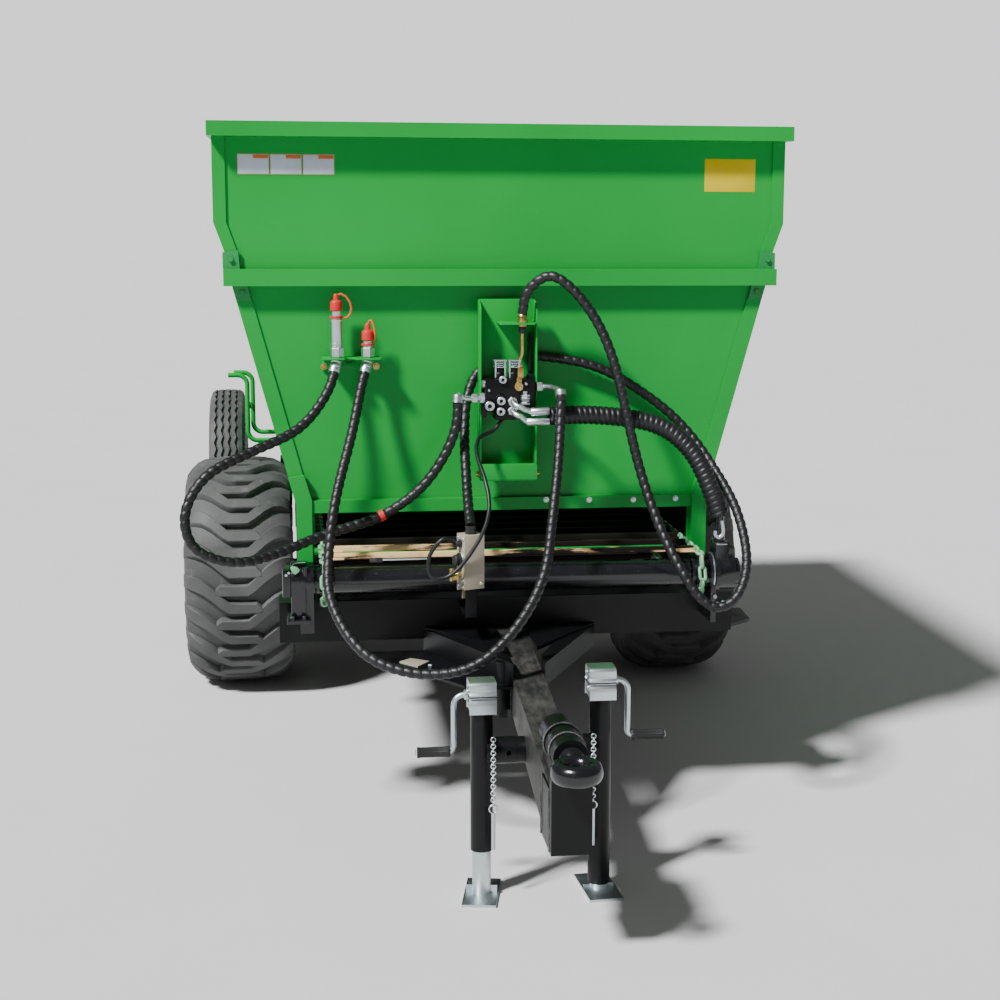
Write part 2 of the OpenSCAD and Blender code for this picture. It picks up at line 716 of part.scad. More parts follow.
// One bolted plate on the front strip, drawn in X and Z.
module corner_plate(points, bolt) {
    plate = 8;
    slab_y(-strip_t - plate, -strip_t, points);
    bolt_front(bolt[0], -strip_t - plate, bolt[1], 8);
}

// Bolted plates at each corner, above and below the band.
module corner_brackets() {
    under = wall_x(band_z);
    color("#3aa55c") for (back = [0, 1]) both_sides()
        translate([0, hopper_len * back, 0]) mirror([0, back, 0]) {
            corner_plate([[flare_x - 44, band_top], [flare_x + 6, band_top],
                [flare_x + 6, kink_start_z], [flare_x - 40, kink_start_z + 6]],
                [flare_x - 18, band_top + 28]);
            if (back == 0) corner_plate([[under - 56, band_z - 44], [under - 14, band_z - 44],
                [under - 2, band_z], [under - 46, band_z]], [under - 30, band_z - 20]);
        }
}

post_w = 60;
post_count = 5;
module hopper_ribs() {
    color(body_green) both_sides() {
        for (k = [0 : post_count - 1]) {
            y = k * (hopper_len - post_w) / (post_count - 1);
            block([sill_x, y, rail_top], [rail_x + rail_w / 2, y + post_w, hopper_base_z - sheet]);
        }
        slab_y(-30, -strip_t, [[low_x - corner_w, rail_top], [low_x, rail_top], [low_x, hopper_base_z],
            [wall_x(hopper_base_z + 90), hopper_base_z + 90], [low_x - 24, hopper_base_z + 96],
            [low_x - corner_w, hopper_base_z + 20]]);
    }
}

// Two bent tubes at the left rear corner, above a small step plate.
hoop_r = 10;
module side_hoops() {
    bend = 40;
    first = spare_y - 270;
    second = first + 120;
    clear = spare_x + spare_w / 2 + 14;
    hoop_low = hopper_base_z - 67;
    for (y = [first, second]) {
        shift = y == first ? 0 : 20;
        x = clear + shift;
        top = 1143;
        low = hoop_low + shift;
        color(body_green) {
            rod_x(hoop_r, x - 78, x - bend, y, top);
            rod_z(hoop_r, low + bend, top - bend, x, y);
            rod_x(hoop_r, x + bend, -sill_x, y, low);
            translate([x - bend, y, top - bend]) hoop_bend(0, bend);
            translate([x + bend, y, low + bend]) hoop_bend(180, bend);
        }
    }
    color(body_green) rod_y(hoop_r * 0.8, first, second, clear + 10, 1010);
    color("#b9ab8c") block([clear + 40, first - 20, hoop_low - 18], [-sill_x, second + 20, hoop_low - 10]);
}

// A quarter bend of tube in X and Z, turned by a.
module hoop_bend(a, bend) {
    rotate([0, a, 0]) rotate([90, 0, 0]) rotate_extrude(angle = 90, $fn = 48) translate([bend, 0])
        circle(r = hoop_r, $fn = 24);
}

// ---------- conveyor ----------

// One closed chain: a flat loop round the front and rear sprockets.
module chain_loop(inner, thick, x, width) {
    y0 = -roller_y;
    difference() {
        union() {
            rod_x(inner + thick, x - width / 2, x + width / 2, y0, roller_z);
            rod_x(inner + thick, x - width / 2, x + width / 2, belt_rear, roller_z);
            block([x - width / 2, y0, roller_z - inner - thick], [x + width / 2, belt_rear, roller_z + inner + thick]);
        }
        rod_x(inner, x - width, x + width, y0, roller_z);
        rod_x(inner, x - width, x + width, belt_rear, roller_z);
        block([x - width, y0, roller_z - inner], [x + width, belt_rear, roller_z + inner]);
    }
}

module floor_chains() {
    color("#8fa98f") for (side = [-1, 1])
        chain_loop(sprocket_r + air, chain_t, side * chain_x, chain_w);
}

// The slats of the upper and of the lower run, bolted across both chains.
module floor_slats() {
    half = chain_x + chain_w / 2;
    pitch = (belt_rear + roller_y) / slat_count;
    color("#b79a63") for (k = [0 : slat_count - 1]) {
        y = -roller_y + pitch * (k + 0.35);
        for (z = [roller_z + slat_reach, roller_z - slat_reach - slat_h])
            block([-half + 4, y, z], [half - 4, y + slat_w, z + slat_h]);
    }
}

module roller(y, ends) {
    translate([0, y, roller_z]) {
        rod_x(roller_d / 2, -chain_x + 30, chain_x - 30, 0, 0);
        rod_x(shaft_r, ends[0], ends[1], 0, 0);
        for (side = [-1, 1]) {
            rod_x(sprocket_r, side * chain_x - 8, side * chain_x + 8, 0, 0);
            rod_x(sprocket_r - 16, side * chain_x - 22, side * chain_x + 10, 0, 0);
        }
    }
}
shaft_r = 22;
bearing_x0 = rail_x - rail_w / 2 + 12;
motor_x = bearing_x0 + 16;

module front_roller() {
    color(steel_black) roller(-roller_y, [-bearing_x0 - 40, motor_x - 2]);
}
module rear_roller() {
    color(steel_black) roller(belt_rear, [-bearing_x0 - 40, bearing_x0 + 40]);
}

// One bearing block, fixed at the place called back on the frame. Its outer end is at x1.
module bearing(y, back, x1, cap) {
    low = beam_z - 62;
    difference() {
        union() {
            rod_x(56, bearing_x0, x1, y, roller_z);
            block([bearing_x0, min(y - 50, back), low], [x1, max(y + 50, back), roller_z]);
            if (cap) rod_x(36, x1, x1 + 14, y, roller_z);
            if (cap) for (s = [-1, 1]) rod_z(8, roller_z, roller_z + 50, bearing_x0 + 24, y + 44 * s);
        }
        rod_x(shaft_r + run_gap, bearing_x0 - 1, x1 + (cap ? 0.4 : 1), y, roller_z);
    }
}

module conveyor_bearings() {
    far = belt_rear - 60;
    color(steel_black) {
        mirror([1, 0, 0]) bearing(-roller_y, beam_front, bearing_x0 + 40, true);
        bearing(-roller_y, beam_front, motor_x, false);
        both_sides() bearing(belt_rear, far, bearing_x0 + 40, true);
    }
}

module conveyor_motor() {
    color(steel_black) {
        rod_x(60, motor_x, motor_x + 12, -roller_y, roller_z);
        rod_x(54, motor_x + 12, motor_x + 60, -roller_y, roller_z);
        rod_x(40, motor_x + 60, motor_x + 76, -roller_y, roller_z);
        block([motor_x, -roller_y - 36, roller_z], [motor_x + 40, -roller_y + 36, roller_z + 96]);
    }
    color(zinc) for (y = [-15, 15]) {
        rod_z(13, roller_z + 96, roller_z + 130, motor_x + 18, -roller_y + y);
        rod_z(10, roller_z + 130, roller_z + 172, motor_x + 18, -roller_y + y);
    }
}

// ---------- hydraulics ----------

bracket_back = -bracket_gap;
bracket_front = bracket_back - bracket_d;
module valve_bracket() {
    half = bracket_w / 2;
    wall = 6;
    color(body_green) {
        block([-half, bracket_back - wall, bracket_low], [half, bracket_back, bracket_top]);
        for (x = [-half, half - wall]) block([x, bracket_front, bracket_low], [x + wall, bracket_back, bracket_top]);
        block([-half, bracket_front - 14, bracket_low], [half, bracket_back, bracket_low + wall]);
        block([-half, bracket_front - 14, bracket_low], [half, bracket_front - 8, bracket_low + 48]);
        block([-30, bracket_front - 20, 1486], [half, bracket_back, 1494]);
        for (z = [bracket_low + 30, bracket_top - 60], x = [-half + 14, half - 34])
            block([x, bracket_back, z], [x + 20, 0, z + 20]);
    }
    color("#b08d3c") for (x = [-half - 8, half]) rod_x(8, x, x + 8, bracket_front + 20, bracket_low + 18);
}

valve_low = 1205;
valve_top = 1350;
valve_front = bracket_front - 24;
module valve_block() {
    back = bracket_back - 6;
    half = bracket_w / 2 - 6;
    color(steel_black) {
        difference() {
            union() {
                block([-74, valve_front, valve_low + 30], [half - 4, back, valve_top - 20]);
                block([-40, valve_front, valve_low], [20, back, valve_top - 20]);
                rod_z(20, valve_top - 20, valve_top + 26, -22, bracket_front + 16);
                rod_z(12, valve_top - 20, valve_top + 14, 67, bracket_front + 10);
                block([half - 22, bracket_front + 26, valve_top - 20], [half - 16, back, valve_top + 110]);
            }
            rod_z(8 + run_gap, valve_top - 70, valve_top + 20, rod_valve_x, valve_front + 22);
        }
    }
}
rod_valve_x = 40;

// Silver port plugs, the two elbows to the motor hoses, and the side fittings.
module valve_fittings() {
    color(zinc) {
        for (p = [[-62, 1256], [-26, 1262], [-26, 1232], [-20, 1325]]) difference() {
            rod_y(13, valve_front - 14, valve_front, p[0], p[1]);
            rod_y(6, valve_front - 15, valve_front - 6, p[0], p[1]);
        }
        for (z = [1208, 1238]) {
            rod_y(12, pipe_y, valve_front, 4, z);
            translate([4, pipe_y, z]) sphere(r = 12);
            rod_x(12, 4, 112, pipe_y, z);
            rod_x(14, 76, 112, pipe_y, z);
        }
        rod_x(11, -134, -74, port_y, 1278);
        rod_x(16, -112, -98, port_y, 1278);
        block([-169, -168, 1262], [-134, port_y + 14, 1290]);
        rod_x(10, bracket_w / 2 - 10, 132, port_y, 1306);
        rod_x(14, 100, 116, port_y, 1306);
        block([130, -238, 1290], [154, port_y + 12, 1316]);
        block([44, valve_front - 16, 1262], [70, valve_front, 1300]);
    }
    color("#b08d3c") {
        rod_z(16, 1494, 1508, rod_valve_x, valve_front + 22);
        rod_z(12, 1508, 1520, rod_valve_x, valve_front + 22);
    }
}
port_y = bracket_front - 13;
pipe_y = -190;

// The brass spool rod, which the lever linkage above pushes up and down.
module valve_rod() {
    y = valve_front + 22;
    color("#b08d3c") {
        rod_z(8, valve_top - 60, 1470, rod_valve_x, y);
        block([rod_valve_x - 12, y - 14, valve_top - 12], [rod_valve_x + 12, y + 10, valve_top + 26]);
        rod_y(9, y - 22, y - 10, rod_valve_x, valve_top + 6);
    }
}

coupler_x = [-508, -416];
coupler_z = 1400;
module coupler_holder() {
    color(body_green) {
        difference() {
            block([-552, -92, coupler_z - 20], [-378, 0, coupler_z - 10]);
            for (x = coupler_x) rod_z(18, coupler_z - 30, coupler_z, x, -60);
        }
        block([-552, -8, coupler_z - 52], [-378, 0, coupler_z - 10]);
    }
    color("#3aa55c") for (x = [-540, -390]) bolt_front(x, -8, coupler_z - 36, 7);
}

// A quick coupler: nut, body, red ring and collar, standing in the holder. h is its body's length.
module coupler(x, h) {
    z = coupler_z;
    color(zinc) {
        rod_z(17.9, z - 20, z - 6, x, -60);
        translate([x, -60, z - 6]) cylinder(r = 21, h = 26, $fn = 6);
        rod_z(16, z + 20, z + h, x, -60);
        if (h > 80) rod_z(19, z + h - 52, z + h - 26, x, -60);
    }
    color("#c1272d") rod_z(20, z + h - 22, z + h - 14, x, -60);
}

// The dust cap with the loop of strap that ties it to the coupler.
module cap(x, h) {
    z = coupler_z + h + air;
    color("#d2332c") {
        rod_z(19, z, z + 30, x, -60);
        rod_z(12, z + 30, z + 48, x, -60);
    }
    color("#e2632f") translate([x + 24, -60, z + 26]) rotate([90, 0, 0])
        rotate_extrude($fn = 32) translate([20, 0]) circle(r = 3, $fn = 13);
}
supply_h = 128;
return_h = 40;

// ---------- control box ----------

box_low = [-172, -386, 746];
box_size = [64, 50, 160];
knob_y = box_low[1] + 25;
knob_z = 832;
box_turn = 20;
box_mid = [box_low[0] + box_size[0] / 2, knob_y];

// Turns what sits on the box, which faces a little to the left.
module with_box() {
    translate([box_mid[0], box_mid[1], 0]) rotate([0, 0, box_turn])
        translate([-box_mid[0], -box_mid[1], 0]) children();
}
module control_box() {
    high = box_low + box_size;
    shelf = beam_z - 16;
    color("#b7b0a0") with_box() difference() {
        block(box_low, high);
        rod_x(6 + run_gap, box_low[0] - 1, box_low[0] + 14, knob_y, knob_z);
    }
    color(zinc) with_box() {
        for (y = [box_low[1] + 8, high[1] - 8], z = [box_low[2] + 12, high[2] - 12])
            rod_x(6, box_low[0] - 5, box_low[0] + 1, y, z);
        rod_y(5, box_low[1] - 4, box_low[1] + 1, high[0] - 12, box_low[2] + 14);
    }
    color(steel_black) {
        block([box_low[0] + 16, box_low[1] + 20, shelf], [high[0] - 16, beam_front, shelf + 8]);
        block([box_low[0] + 16, box_low[1] + 20, shelf], [high[0] - 16, box_low[1] + 28, box_low[2] + 1]);
        rod_z(14, high[2] - 1, 927, box_mid[0], box_mid[1]);
        with_box() rod_x(9, box_low[0] - 16, box_low[0] + 1, knob_y, 880);
    }
    color("#b08d3c") with_box() {
        rod_x(9, box_low[0] - 34, box_low[0] + 1, knob_y, 790);
        rod_z(7, 776, 806, box_low[0] - 28, knob_y);
    }
}

module box_knob() {
    color(steel_black) with_box() {
        rod_x(6, box_low[0] - 10, box_low[0] + 12, knob_y, knob_z);
        rod_x(16, box_low[0] - 24, box_low[0] - air, knob_y, knob_z);
    }
}

// ---------- rear ----------

module rear_gate() {
    y = hopper_len + 6;
    color(body_green) {
        block([-gate_w / 2 - 20, y, hopper_base_z + 0.3], [gate_w / 2 + 20, y + 8, hopper_base_z + gate_h + 20]);
        block([-gate_w / 2 + 40, y + 8, hopper_base_z + gate_h - 40],
            [gate_w / 2 - 40, y + 34, hopper_base_z + gate_h]);
        for (x = [-200, 190]) block([x, y + 34, hopper_base_z + gate_h - 30],
            [x + 10, y + 64, hopper_base_z + gate_h - 10]);
        block([-200, y + 56, hopper_base_z + gate_h - 30], [200, y + 68, hopper_base_z + gate_h - 10]);
    }
}

disc_y = hopper_len + disc_reach;
disc_shaft_r = 20;
module disc(side) {
    x = side * disc_gap / 2;
    color(zinc) translate([x, disc_y, disc_z]) {
        cylinder(r = disc_d / 2, h = 6, $fn = 96);
        cylinder(r = 60, h = 34);
        translate([0, 0, -60]) cylinder(r = disc_shaft_r, h = 60);
        for (k = [0 : 3]) rotate([0, 0, 90 * k + 20 * side]) {
            translate([50, -3, 6]) cube([disc_d / 2 - 60, 6, 56]);
            translate([50, -3, 56]) cube([disc_d / 2 - 60, 26, 6]);
        }
    }
}

// The arms behind the hopper that carry the two disc motors.
module disc_frame() {
    x = disc_gap / 2;
    z0 = disc_z - 130;
    near = hopper_len - 60;
    in_x = rail_x - rail_w / 2;
    out_x = rail_x + rail_w / 2;
    color(steel_black) {
        block([-out_x, disc_y - 40, z0], [out_x, disc_y + 40, z0 + 50]);
        both_sides() {
            block([in_x, near, z0], [out_x, disc_y - 40, z0 + 50]);
            block([in_x, near, z0 + 50], [out_x, hopper_len, beam_z]);
            difference() {
                rod_z(58, z0 + 50, disc_z - 12, x, disc_y);
                rod_z(disc_shaft_r + run_gap, disc_z - 62, disc_z, x, disc_y);
            }
        }
    }
}

// ---------- hoses ----------

module hose_supply() {
    color(hose_black) cord(supply_route, hose_d, 1);
}
module hose_return() {
    color(hose_black) cord(return_route, hose_d, 1);
}
module hose_remote() {
    color(hose_black) cord(remote_route, hose_d, 1);
}
module hose_motor() {
    color(hose_black) cord(motor_route, motor_hose_d, 1, 10);
}
module box_wires() {
    color(hose_black) cord(wires_route, wire_d, 1);
}

in_frame() crossbeam();
in_frame() chassis_rails();
in_frame() drawbar();
in_frame() hitch_head();
in_frame() eye_housing();
in_frame() tow_eye();
in_frame() braces();
in_frame() jack_spigot();
in_frame() jack_tube(-1);  // jack_tube_left
in_frame() jack_tube(1);  // jack_tube_right
in_frame() jack_head(-1);  // jack_head_left
in_frame() jack_head(1);  // jack_head_right
in_frame() jack_leg(-1);  // jack_leg_left
in_frame() jack_leg(1);  // jack_leg_right
in_frame() jack_crank(-1);  // jack_crank_left
in_frame() jack_crank(1);  // jack_crank_right
in_frame() crank_grip(-1);  // crank_grip_left
in_frame() crank_grip(1);  // crank_grip_right
in_frame() jack_pin(-1);  // jack_pin_left
in_frame() jack_pin(1);  // jack_pin_right
in_frame() axle();
in_frame() rim(-1);  // rim_left
in_frame() rim(1);  // rim_right
in_frame() tyre(-1);  // tyre_left
in_frame() tyre(1);  // tyre_right
in_frame() spare_rim();
in_frame() spare_tyre();
in_frame() spare_carrier();
in_frame() hopper_shell();
in_frame() hopper_extension();
in_frame() band_rail();
in_frame() corner_brackets();
in_frame() hopper_ribs();
in_frame() side_hoops();
in_frame() floor_chains();
in_frame() floor_slats();
in_frame() front_roller();
in_frame() rear_roller();
in_frame() conveyor_bearings();
in_frame() conveyor_motor();
in_frame() valve_bracket();
in_frame() valve_block();
in_frame() valve_fittings();
in_frame() valve_rod();
in_frame() coupler_holder();
in_frame() coupler(coupler_x[0], supply_h);  // coupler_supply
in_frame() coupler(coupler_x[1], return_h);  // coupler_return
in_frame() cap(coupler_x[0], supply_h);  // cap_supply
in_frame() cap(coupler_x[1], return_h);  // cap_return
in_frame() control_box();
in_frame() box_knob();
in_frame() rear_gate();
in_frame() disc(-1);  // disc_left
in_frame() disc(1);  // disc_right
in_frame() disc_frame();
in_frame() hose_supply();
in_frame() hose_return();
in_frame() hose_remote();
in_frame() hose_motor();
in_frame() box_wires();
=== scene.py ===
# %% [markdown]
# A trailed compost spreader: a green hopper on a black frame, with a drawbar, two jacks, flotation
# tyres and a lot of hydraulic hose. The solids come from the construction model and carry every real
# size. This lesson dresses them: it gives each surface a finish, and builds the pieces whose look needs
# more than a solid, such as lugged tyres, spiral hose guards, slats, welds and screws.

# %% Load the frame
import json
import math
import bpy
import bmesh
from mathutils import Matrix, Vector


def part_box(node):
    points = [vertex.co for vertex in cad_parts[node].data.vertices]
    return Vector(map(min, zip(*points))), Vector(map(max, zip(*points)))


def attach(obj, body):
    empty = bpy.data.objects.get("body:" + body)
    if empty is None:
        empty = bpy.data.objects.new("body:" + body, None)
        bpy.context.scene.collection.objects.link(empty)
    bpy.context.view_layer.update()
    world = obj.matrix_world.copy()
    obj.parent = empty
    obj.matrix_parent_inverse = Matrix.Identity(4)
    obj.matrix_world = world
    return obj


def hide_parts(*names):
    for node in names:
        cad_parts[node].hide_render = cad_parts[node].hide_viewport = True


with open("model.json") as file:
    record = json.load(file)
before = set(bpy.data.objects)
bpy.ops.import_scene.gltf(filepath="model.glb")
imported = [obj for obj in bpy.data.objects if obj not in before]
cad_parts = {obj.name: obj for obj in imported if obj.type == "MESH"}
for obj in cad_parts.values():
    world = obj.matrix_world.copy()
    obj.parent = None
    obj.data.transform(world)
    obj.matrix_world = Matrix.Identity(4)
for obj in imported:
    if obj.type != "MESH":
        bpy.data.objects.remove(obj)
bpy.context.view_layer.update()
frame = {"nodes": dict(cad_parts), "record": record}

scene = bpy.context.scene
FRONT, REAR = -0.7765, 1.6235  # the hopper's front and rear panels, along Y

# %% [markdown]
# The camera stands in front of the drawbar, a little to the left and above the hopper's middle. A long
# lens far away would flatten the machine, and a wide one would blow up the tow eye, so a lens of about
# 60 mm sits between them. The small shift only moves the frame.

# %% The camera
def place_camera(position, yaw, pitch, roll, lens, shift):
    yaw, pitch, roll = (math.radians(a) for a in (yaw, pitch, roll))
    ahead = Vector((math.sin(yaw) * math.cos(pitch), math.cos(yaw) * math.cos(pitch), -math.sin(pitch)))
    right = Vector((math.cos(yaw), -math.sin(yaw), 0))
    down = ahead.cross(right)
    across = math.cos(roll) * right - math.sin(roll) * down
    up = -(math.sin(roll) * right + math.cos(roll) * down)
    data = bpy.data.cameras.new("camera")
    data.lens, data.sensor_width = lens, 36
    data.shift_x, data.shift_y = shift
    data.clip_end = 200
    camera = bpy.data.objects.new("camera", data)
    camera.matrix_world = Matrix.Translation(position) @ Matrix((across, up, -ahead)).transposed().to_4x4()
    scene.collection.objects.link(camera)
    scene.camera = camera
    print("camera at", [round(v, 3) for v in position])


place_camera((-0.65, -5.9886, 1.8166), 7.85, 9.55, 0.25, 62.04, (-0.0256, 0.0027))

# %% [markdown]
# Materials and geometry trees are both node trees. Writing each node by hand makes long code, so one
# small class wraps a socket and lets Python's own operators add Math nodes, and one method adds any
# other node, sets its options first and then fills its sockets by name.

# %% Node trees as expressions
class Wire:
    """One output socket, on which sums can be written."""

    def __init__(self, graph, socket):
        self.graph, self.socket = graph, socket

    def sum(self, operation, first, second=None):
        return self.graph.add("ShaderNodeMath", {"operation": operation}, {0: first, 1: second})

    def __add__(self, other): return self.sum("ADD", self, other)
    def __radd__(self, other): return self.sum("ADD", other, self)
    def __sub__(self, other): return self.sum("SUBTRACT", self, other)
    def __rsub__(self, other): return self.sum("SUBTRACT", other, self)
    def __mul__(self, other): return self.sum("MULTIPLY", self, other)
    def __rmul__(self, other): return self.sum("MULTIPLY", other, self)
    def __truediv__(self, other): return self.sum("DIVIDE", self, other)
    def __pow__(self, other): return self.sum("POWER", self, other)
    def __gt__(self, other): return self.sum("GREATER_THAN", self, other)
    def __abs__(self): return self.sum("ABSOLUTE", self)


class Graph:
    """A node tree that is filled by add()."""

    def __init__(self, tree):
        self.tree = tree

    def add(self, kind, settings=None, feeds=None, out=0):
        node = self.tree.nodes.new(kind)
        for key, value in (settings or {}).items():
            setattr(node, key, value)
        for key, value in (feeds or {}).items():
            self.feed(self.find(node.inputs, key), value)
        return node if out is None else Wire(self, self.find(node.outputs, out))

    def find(self, sockets, key):
        if isinstance(key, int):
            return sockets[key]
        for socket in sockets:
            if socket.identifier == key:
                return socket
        return sockets[key]

    def feed(self, socket, value):
        if isinstance(value, Wire):
            self.tree.links.new(value.socket, socket)
        elif value is not None:
            socket.default_value = (*value, 1) if socket.type == "RGBA" else value

    def blend(self, factor, first, second):
        """Mixes two colours."""
        return self.add("ShaderNodeMix", {"data_type": "RGBA"},
                        {"Factor_Float": factor, "A_Color": first, "B_Color": second}, "Result_Color")

    def soft_step(self, value, low, high):
        return self.add("ShaderNodeMapRange", {"interpolation_type": "SMOOTHSTEP"},
                        {"Value": value, "From Min": low, "From Max": high})

    def axes(self, place):
        """The three numbers of a place."""
        parts = self.add("ShaderNodeSeparateXYZ", {}, {"Vector": place}, None)
        return [Wire(self, socket) for socket in parts.outputs]


print("node helpers ready")

# %% [markdown]
# A finish starts from one Principled shader. Real paint is never one flat colour: it drifts in tone over
# a panel, collects dust in patches and has a faint orange-peel surface. Each of those is a noise of its
# own scale in object coordinates, so the pattern stays fixed to the piece.

# %% The start of a finish
def start_finish(name):
    material = bpy.data.materials.new(name)
    material.use_nodes = True
    graph = Graph(material.node_tree)
    shader = material.node_tree.nodes["Principled BSDF"].inputs
    return material, graph, shader, graph.add("ShaderNodeTexCoord", out="Object")


def noise(graph, place, scale, detail=4, rough=0.55, stretch=None):
    if stretch:
        place = graph.add("ShaderNodeMapping", {}, {"Vector": place, "Scale": stretch})
    return graph.add("ShaderNodeTexNoise", {"noise_dimensions": "3D"},
                     {"Vector": place, "Scale": scale, "Detail": detail, "Roughness": rough})


def roughen(graph, shader, height, strength, depth):
    bump = graph.add("ShaderNodeBump", {}, {"Strength": strength, "Distance": depth, "Height": height},
                     "Normal")
    graph.feed(shader["Normal"], bump)


# A dark compost brown: real stain on the slats, and painted shade inside the hopper.
COMPOST_AND_SHADE = (0.010, 0.008, 0.006)
DUST_FROM, DUST_FULL = 0.56, 0.78  # the levels of the patches between which dust sets in


def paint(name, colour, dark, rough=0.3, metallic=0.0, dirt=0.25, dirt_colour=(0.16, 0.14, 0.11),
          grain=700, grain_depth=0.0004, drift=1.6, spot=14, gleam=0.3, stain_and_painted_light=None):
    material, graph, shader, place = start_finish(name)
    tone = noise(graph, place, drift, 3)
    patch = noise(graph, place, spot, 6, 0.62)
    dust = graph.soft_step(patch, DUST_FROM, DUST_FULL) * dirt
    body = graph.blend(dust, graph.blend(graph.soft_step(tone, 0.3, 0.7), dark, colour), dirt_colour)
    gloss = rough + 0.16 * (patch - 0.5) + 0.5 * dust
    # The optional mask darkens the finish to compost brown. On the slats that is real stain, with a bare tan
    # patch left as painted light; inside the hopper it is painted shade.
    if stain_and_painted_light:
        stain_and_light_mask = stain_and_painted_light(graph, place)
        body = graph.blend(stain_and_light_mask, body, COMPOST_AND_SHADE)
        gloss = gloss + 0.45 * stain_and_light_mask
    graph.feed(shader["Base Color"], body)
    graph.feed(shader["Roughness"], gloss)
    shader["Metallic"].default_value = metallic
    shader["Specular IOR Level"].default_value = gleam
    roughen(graph, shader, noise(graph, place, grain, 2), 0.35, grain_depth)
    return material


SKIN = 0.0025  # how far inside the sheet's middle the painted shade ends
FLOOR_HALF, LOW_HALF, LOW_Z, LEAN = 0.5840, 0.6340, 0.935, 0.2685  # the hopper's inner half width


def hopper_painted_shade(graph, place):
    """Painted shade: the hopper's inner faces near the floor are darkened, fading out upwards."""
    x, y, z = graph.axes(place)
    wall = (FLOOR_HALF - SKIN) + (z > LOW_Z) * (LOW_HALF - FLOOR_HALF + LEAN * (z - LOW_Z))
    inner = (wall > abs(x)) * (y > FRONT + SKIN) * (REAR - SKIN - y > 0.0)
    edge = z + 0.12 * (noise(graph, place, 7, 5) - 0.5)
    return inner * (1.0 - graph.soft_step(edge, 0.98, 1.22))


def slat_stain_and_lit_patch(graph, place):
    """The slats are stained dark, and bare tan only in the middle left, where the first rows turn over the
    front roller; that bare patch is partly painted light, the tan standing for sunlight on those rows.
    """
    x, y, _ = graph.axes(place)
    rows = noise(graph, place, 4, 5, 0.6, stretch=(1.0, 9.0, 9.0))
    # The bare tan is kept at the left and front, where it stands for sunlight on the first rows: painted
    # light.
    bare_where_lit = rows - 0.16 * graph.soft_step(x, -0.22, 0.12) - 0.25 * graph.soft_step(y, -0.95, -0.86)
    return 1.0 - graph.soft_step(bare_where_lit, 0.36, 0.44)


# %% [markdown]
# Each slot has one finish: its colour, its darker tone, how rough it is and how it gathers dirt. Metals
# are bare zinc, brass and steel, and the rest is paint, rubber or plastic.

# %% The finishes
GREEN = dict(colour=(0.002, 0.30, 0.040), dark=(0.002, 0.255, 0.032), rough=0.30, dirt=0.10,
             dirt_colour=(0.02, 0.22, 0.05), drift=1.1, spot=5, gleam=0.22)
FINISHES = {
    "body_green": paint("body_green", **GREEN),
    "frame_black": paint("frame_black", (0.0025, 0.0026, 0.003), (0.005, 0.0052, 0.006), 0.34, dirt=0.3,
                         dirt_colour=(0.018, 0.017, 0.016), spot=9, gleam=0.24),
    "bracket_green": paint("bracket_green", (0.02, 0.27, 0.07), (0.012, 0.20, 0.05), 0.4, dirt=0.4),
    "box_beige": paint("box_beige", (0.36, 0.32, 0.25), (0.30, 0.27, 0.21), 0.42, dirt=0.3, grain=900,
                       spot=22),
    "rim_paint": paint("rim_paint", (0.35, 0.34, 0.32), (0.28, 0.27, 0.26), 0.45, dirt=0.6),
    "grip_plastic": paint("grip_plastic", (0.016, 0.016, 0.017), (0.024, 0.024, 0.025), 0.45, dirt=0.3,
                          spot=40),
    "zinc": paint("zinc", (0.66, 0.71, 0.73), (0.56, 0.63, 0.66), 0.36, metallic=1.0, dirt=0.3,
                  dirt_colour=(0.42, 0.46, 0.44), grain=300, drift=9, spot=60),
    "eye_steel": paint("eye_steel", (0.004, 0.0045, 0.006), (0.008, 0.008, 0.010), 0.2, dirt=0.25,
                       dirt_colour=(0.03, 0.03, 0.03), spot=50, gleam=0.6),
    "brass": paint("brass", (0.62, 0.45, 0.16), (0.48, 0.33, 0.11), 0.34, metallic=1.0, dirt=0.4,
                   dirt_colour=(0.28, 0.2, 0.1), spot=90, drift=25),
    "cap_red": paint("cap_red", (0.62, 0.03, 0.025), (0.5, 0.02, 0.02), 0.42, dirt=0.2, spot=60),
    "slat_tan": paint("slat_tan", (0.80, 0.56, 0.28), (0.62, 0.40, 0.18), 0.5, dirt=0.9,
                      dirt_colour=(0.10, 0.06, 0.03), spot=16, drift=6, gleam=0.1, stain_and_painted_light=slat_stain_and_lit_patch),
    "tyre": paint("rubber", (0.085, 0.085, 0.086), (0.055, 0.055, 0.056), 0.62, dirt=0.55,
                  dirt_colour=(0.16, 0.158, 0.15), grain=420, grain_depth=0.0008, drift=5, spot=26),
    "hose_rubber": paint("hose_black", (0.004, 0.004, 0.005), (0.008, 0.008, 0.010), 0.44, gleam=0.45,
                         dirt=0.3, dirt_colour=(0.03, 0.03, 0.03), spot=30),
    "chain_green": paint("chain_paint", (0.24, 0.50, 0.28), (0.13, 0.30, 0.17), 0.45, metallic=0.2,
                         dirt=0.9, dirt_colour=(0.09, 0.085, 0.07), spot=45, drift=20),
    "strap_orange": paint("strap_orange", (0.72, 0.16, 0.04), (0.62, 0.10, 0.03), 0.38, dirt=0.15,
                          spot=60),
    "weld_grey": paint("weld_grey", (0.10, 0.10, 0.10), (0.02, 0.02, 0.02), 0.26, metallic=0.6, dirt=0.3,
                       dirt_colour=(0.02, 0.02, 0.02), spot=80, drift=24)}
print("finishes:", len(FINISHES))

# %% [markdown]
# Every solid that stays in view takes the finish of its own slot. The record that comes with the frame
# says which slot each node has. The drawbar's black was brushed on, so it has a finish of its own, with
# streaks, drips and dull patches, and the hopper's green is darkened inside near the floor as painted shade.

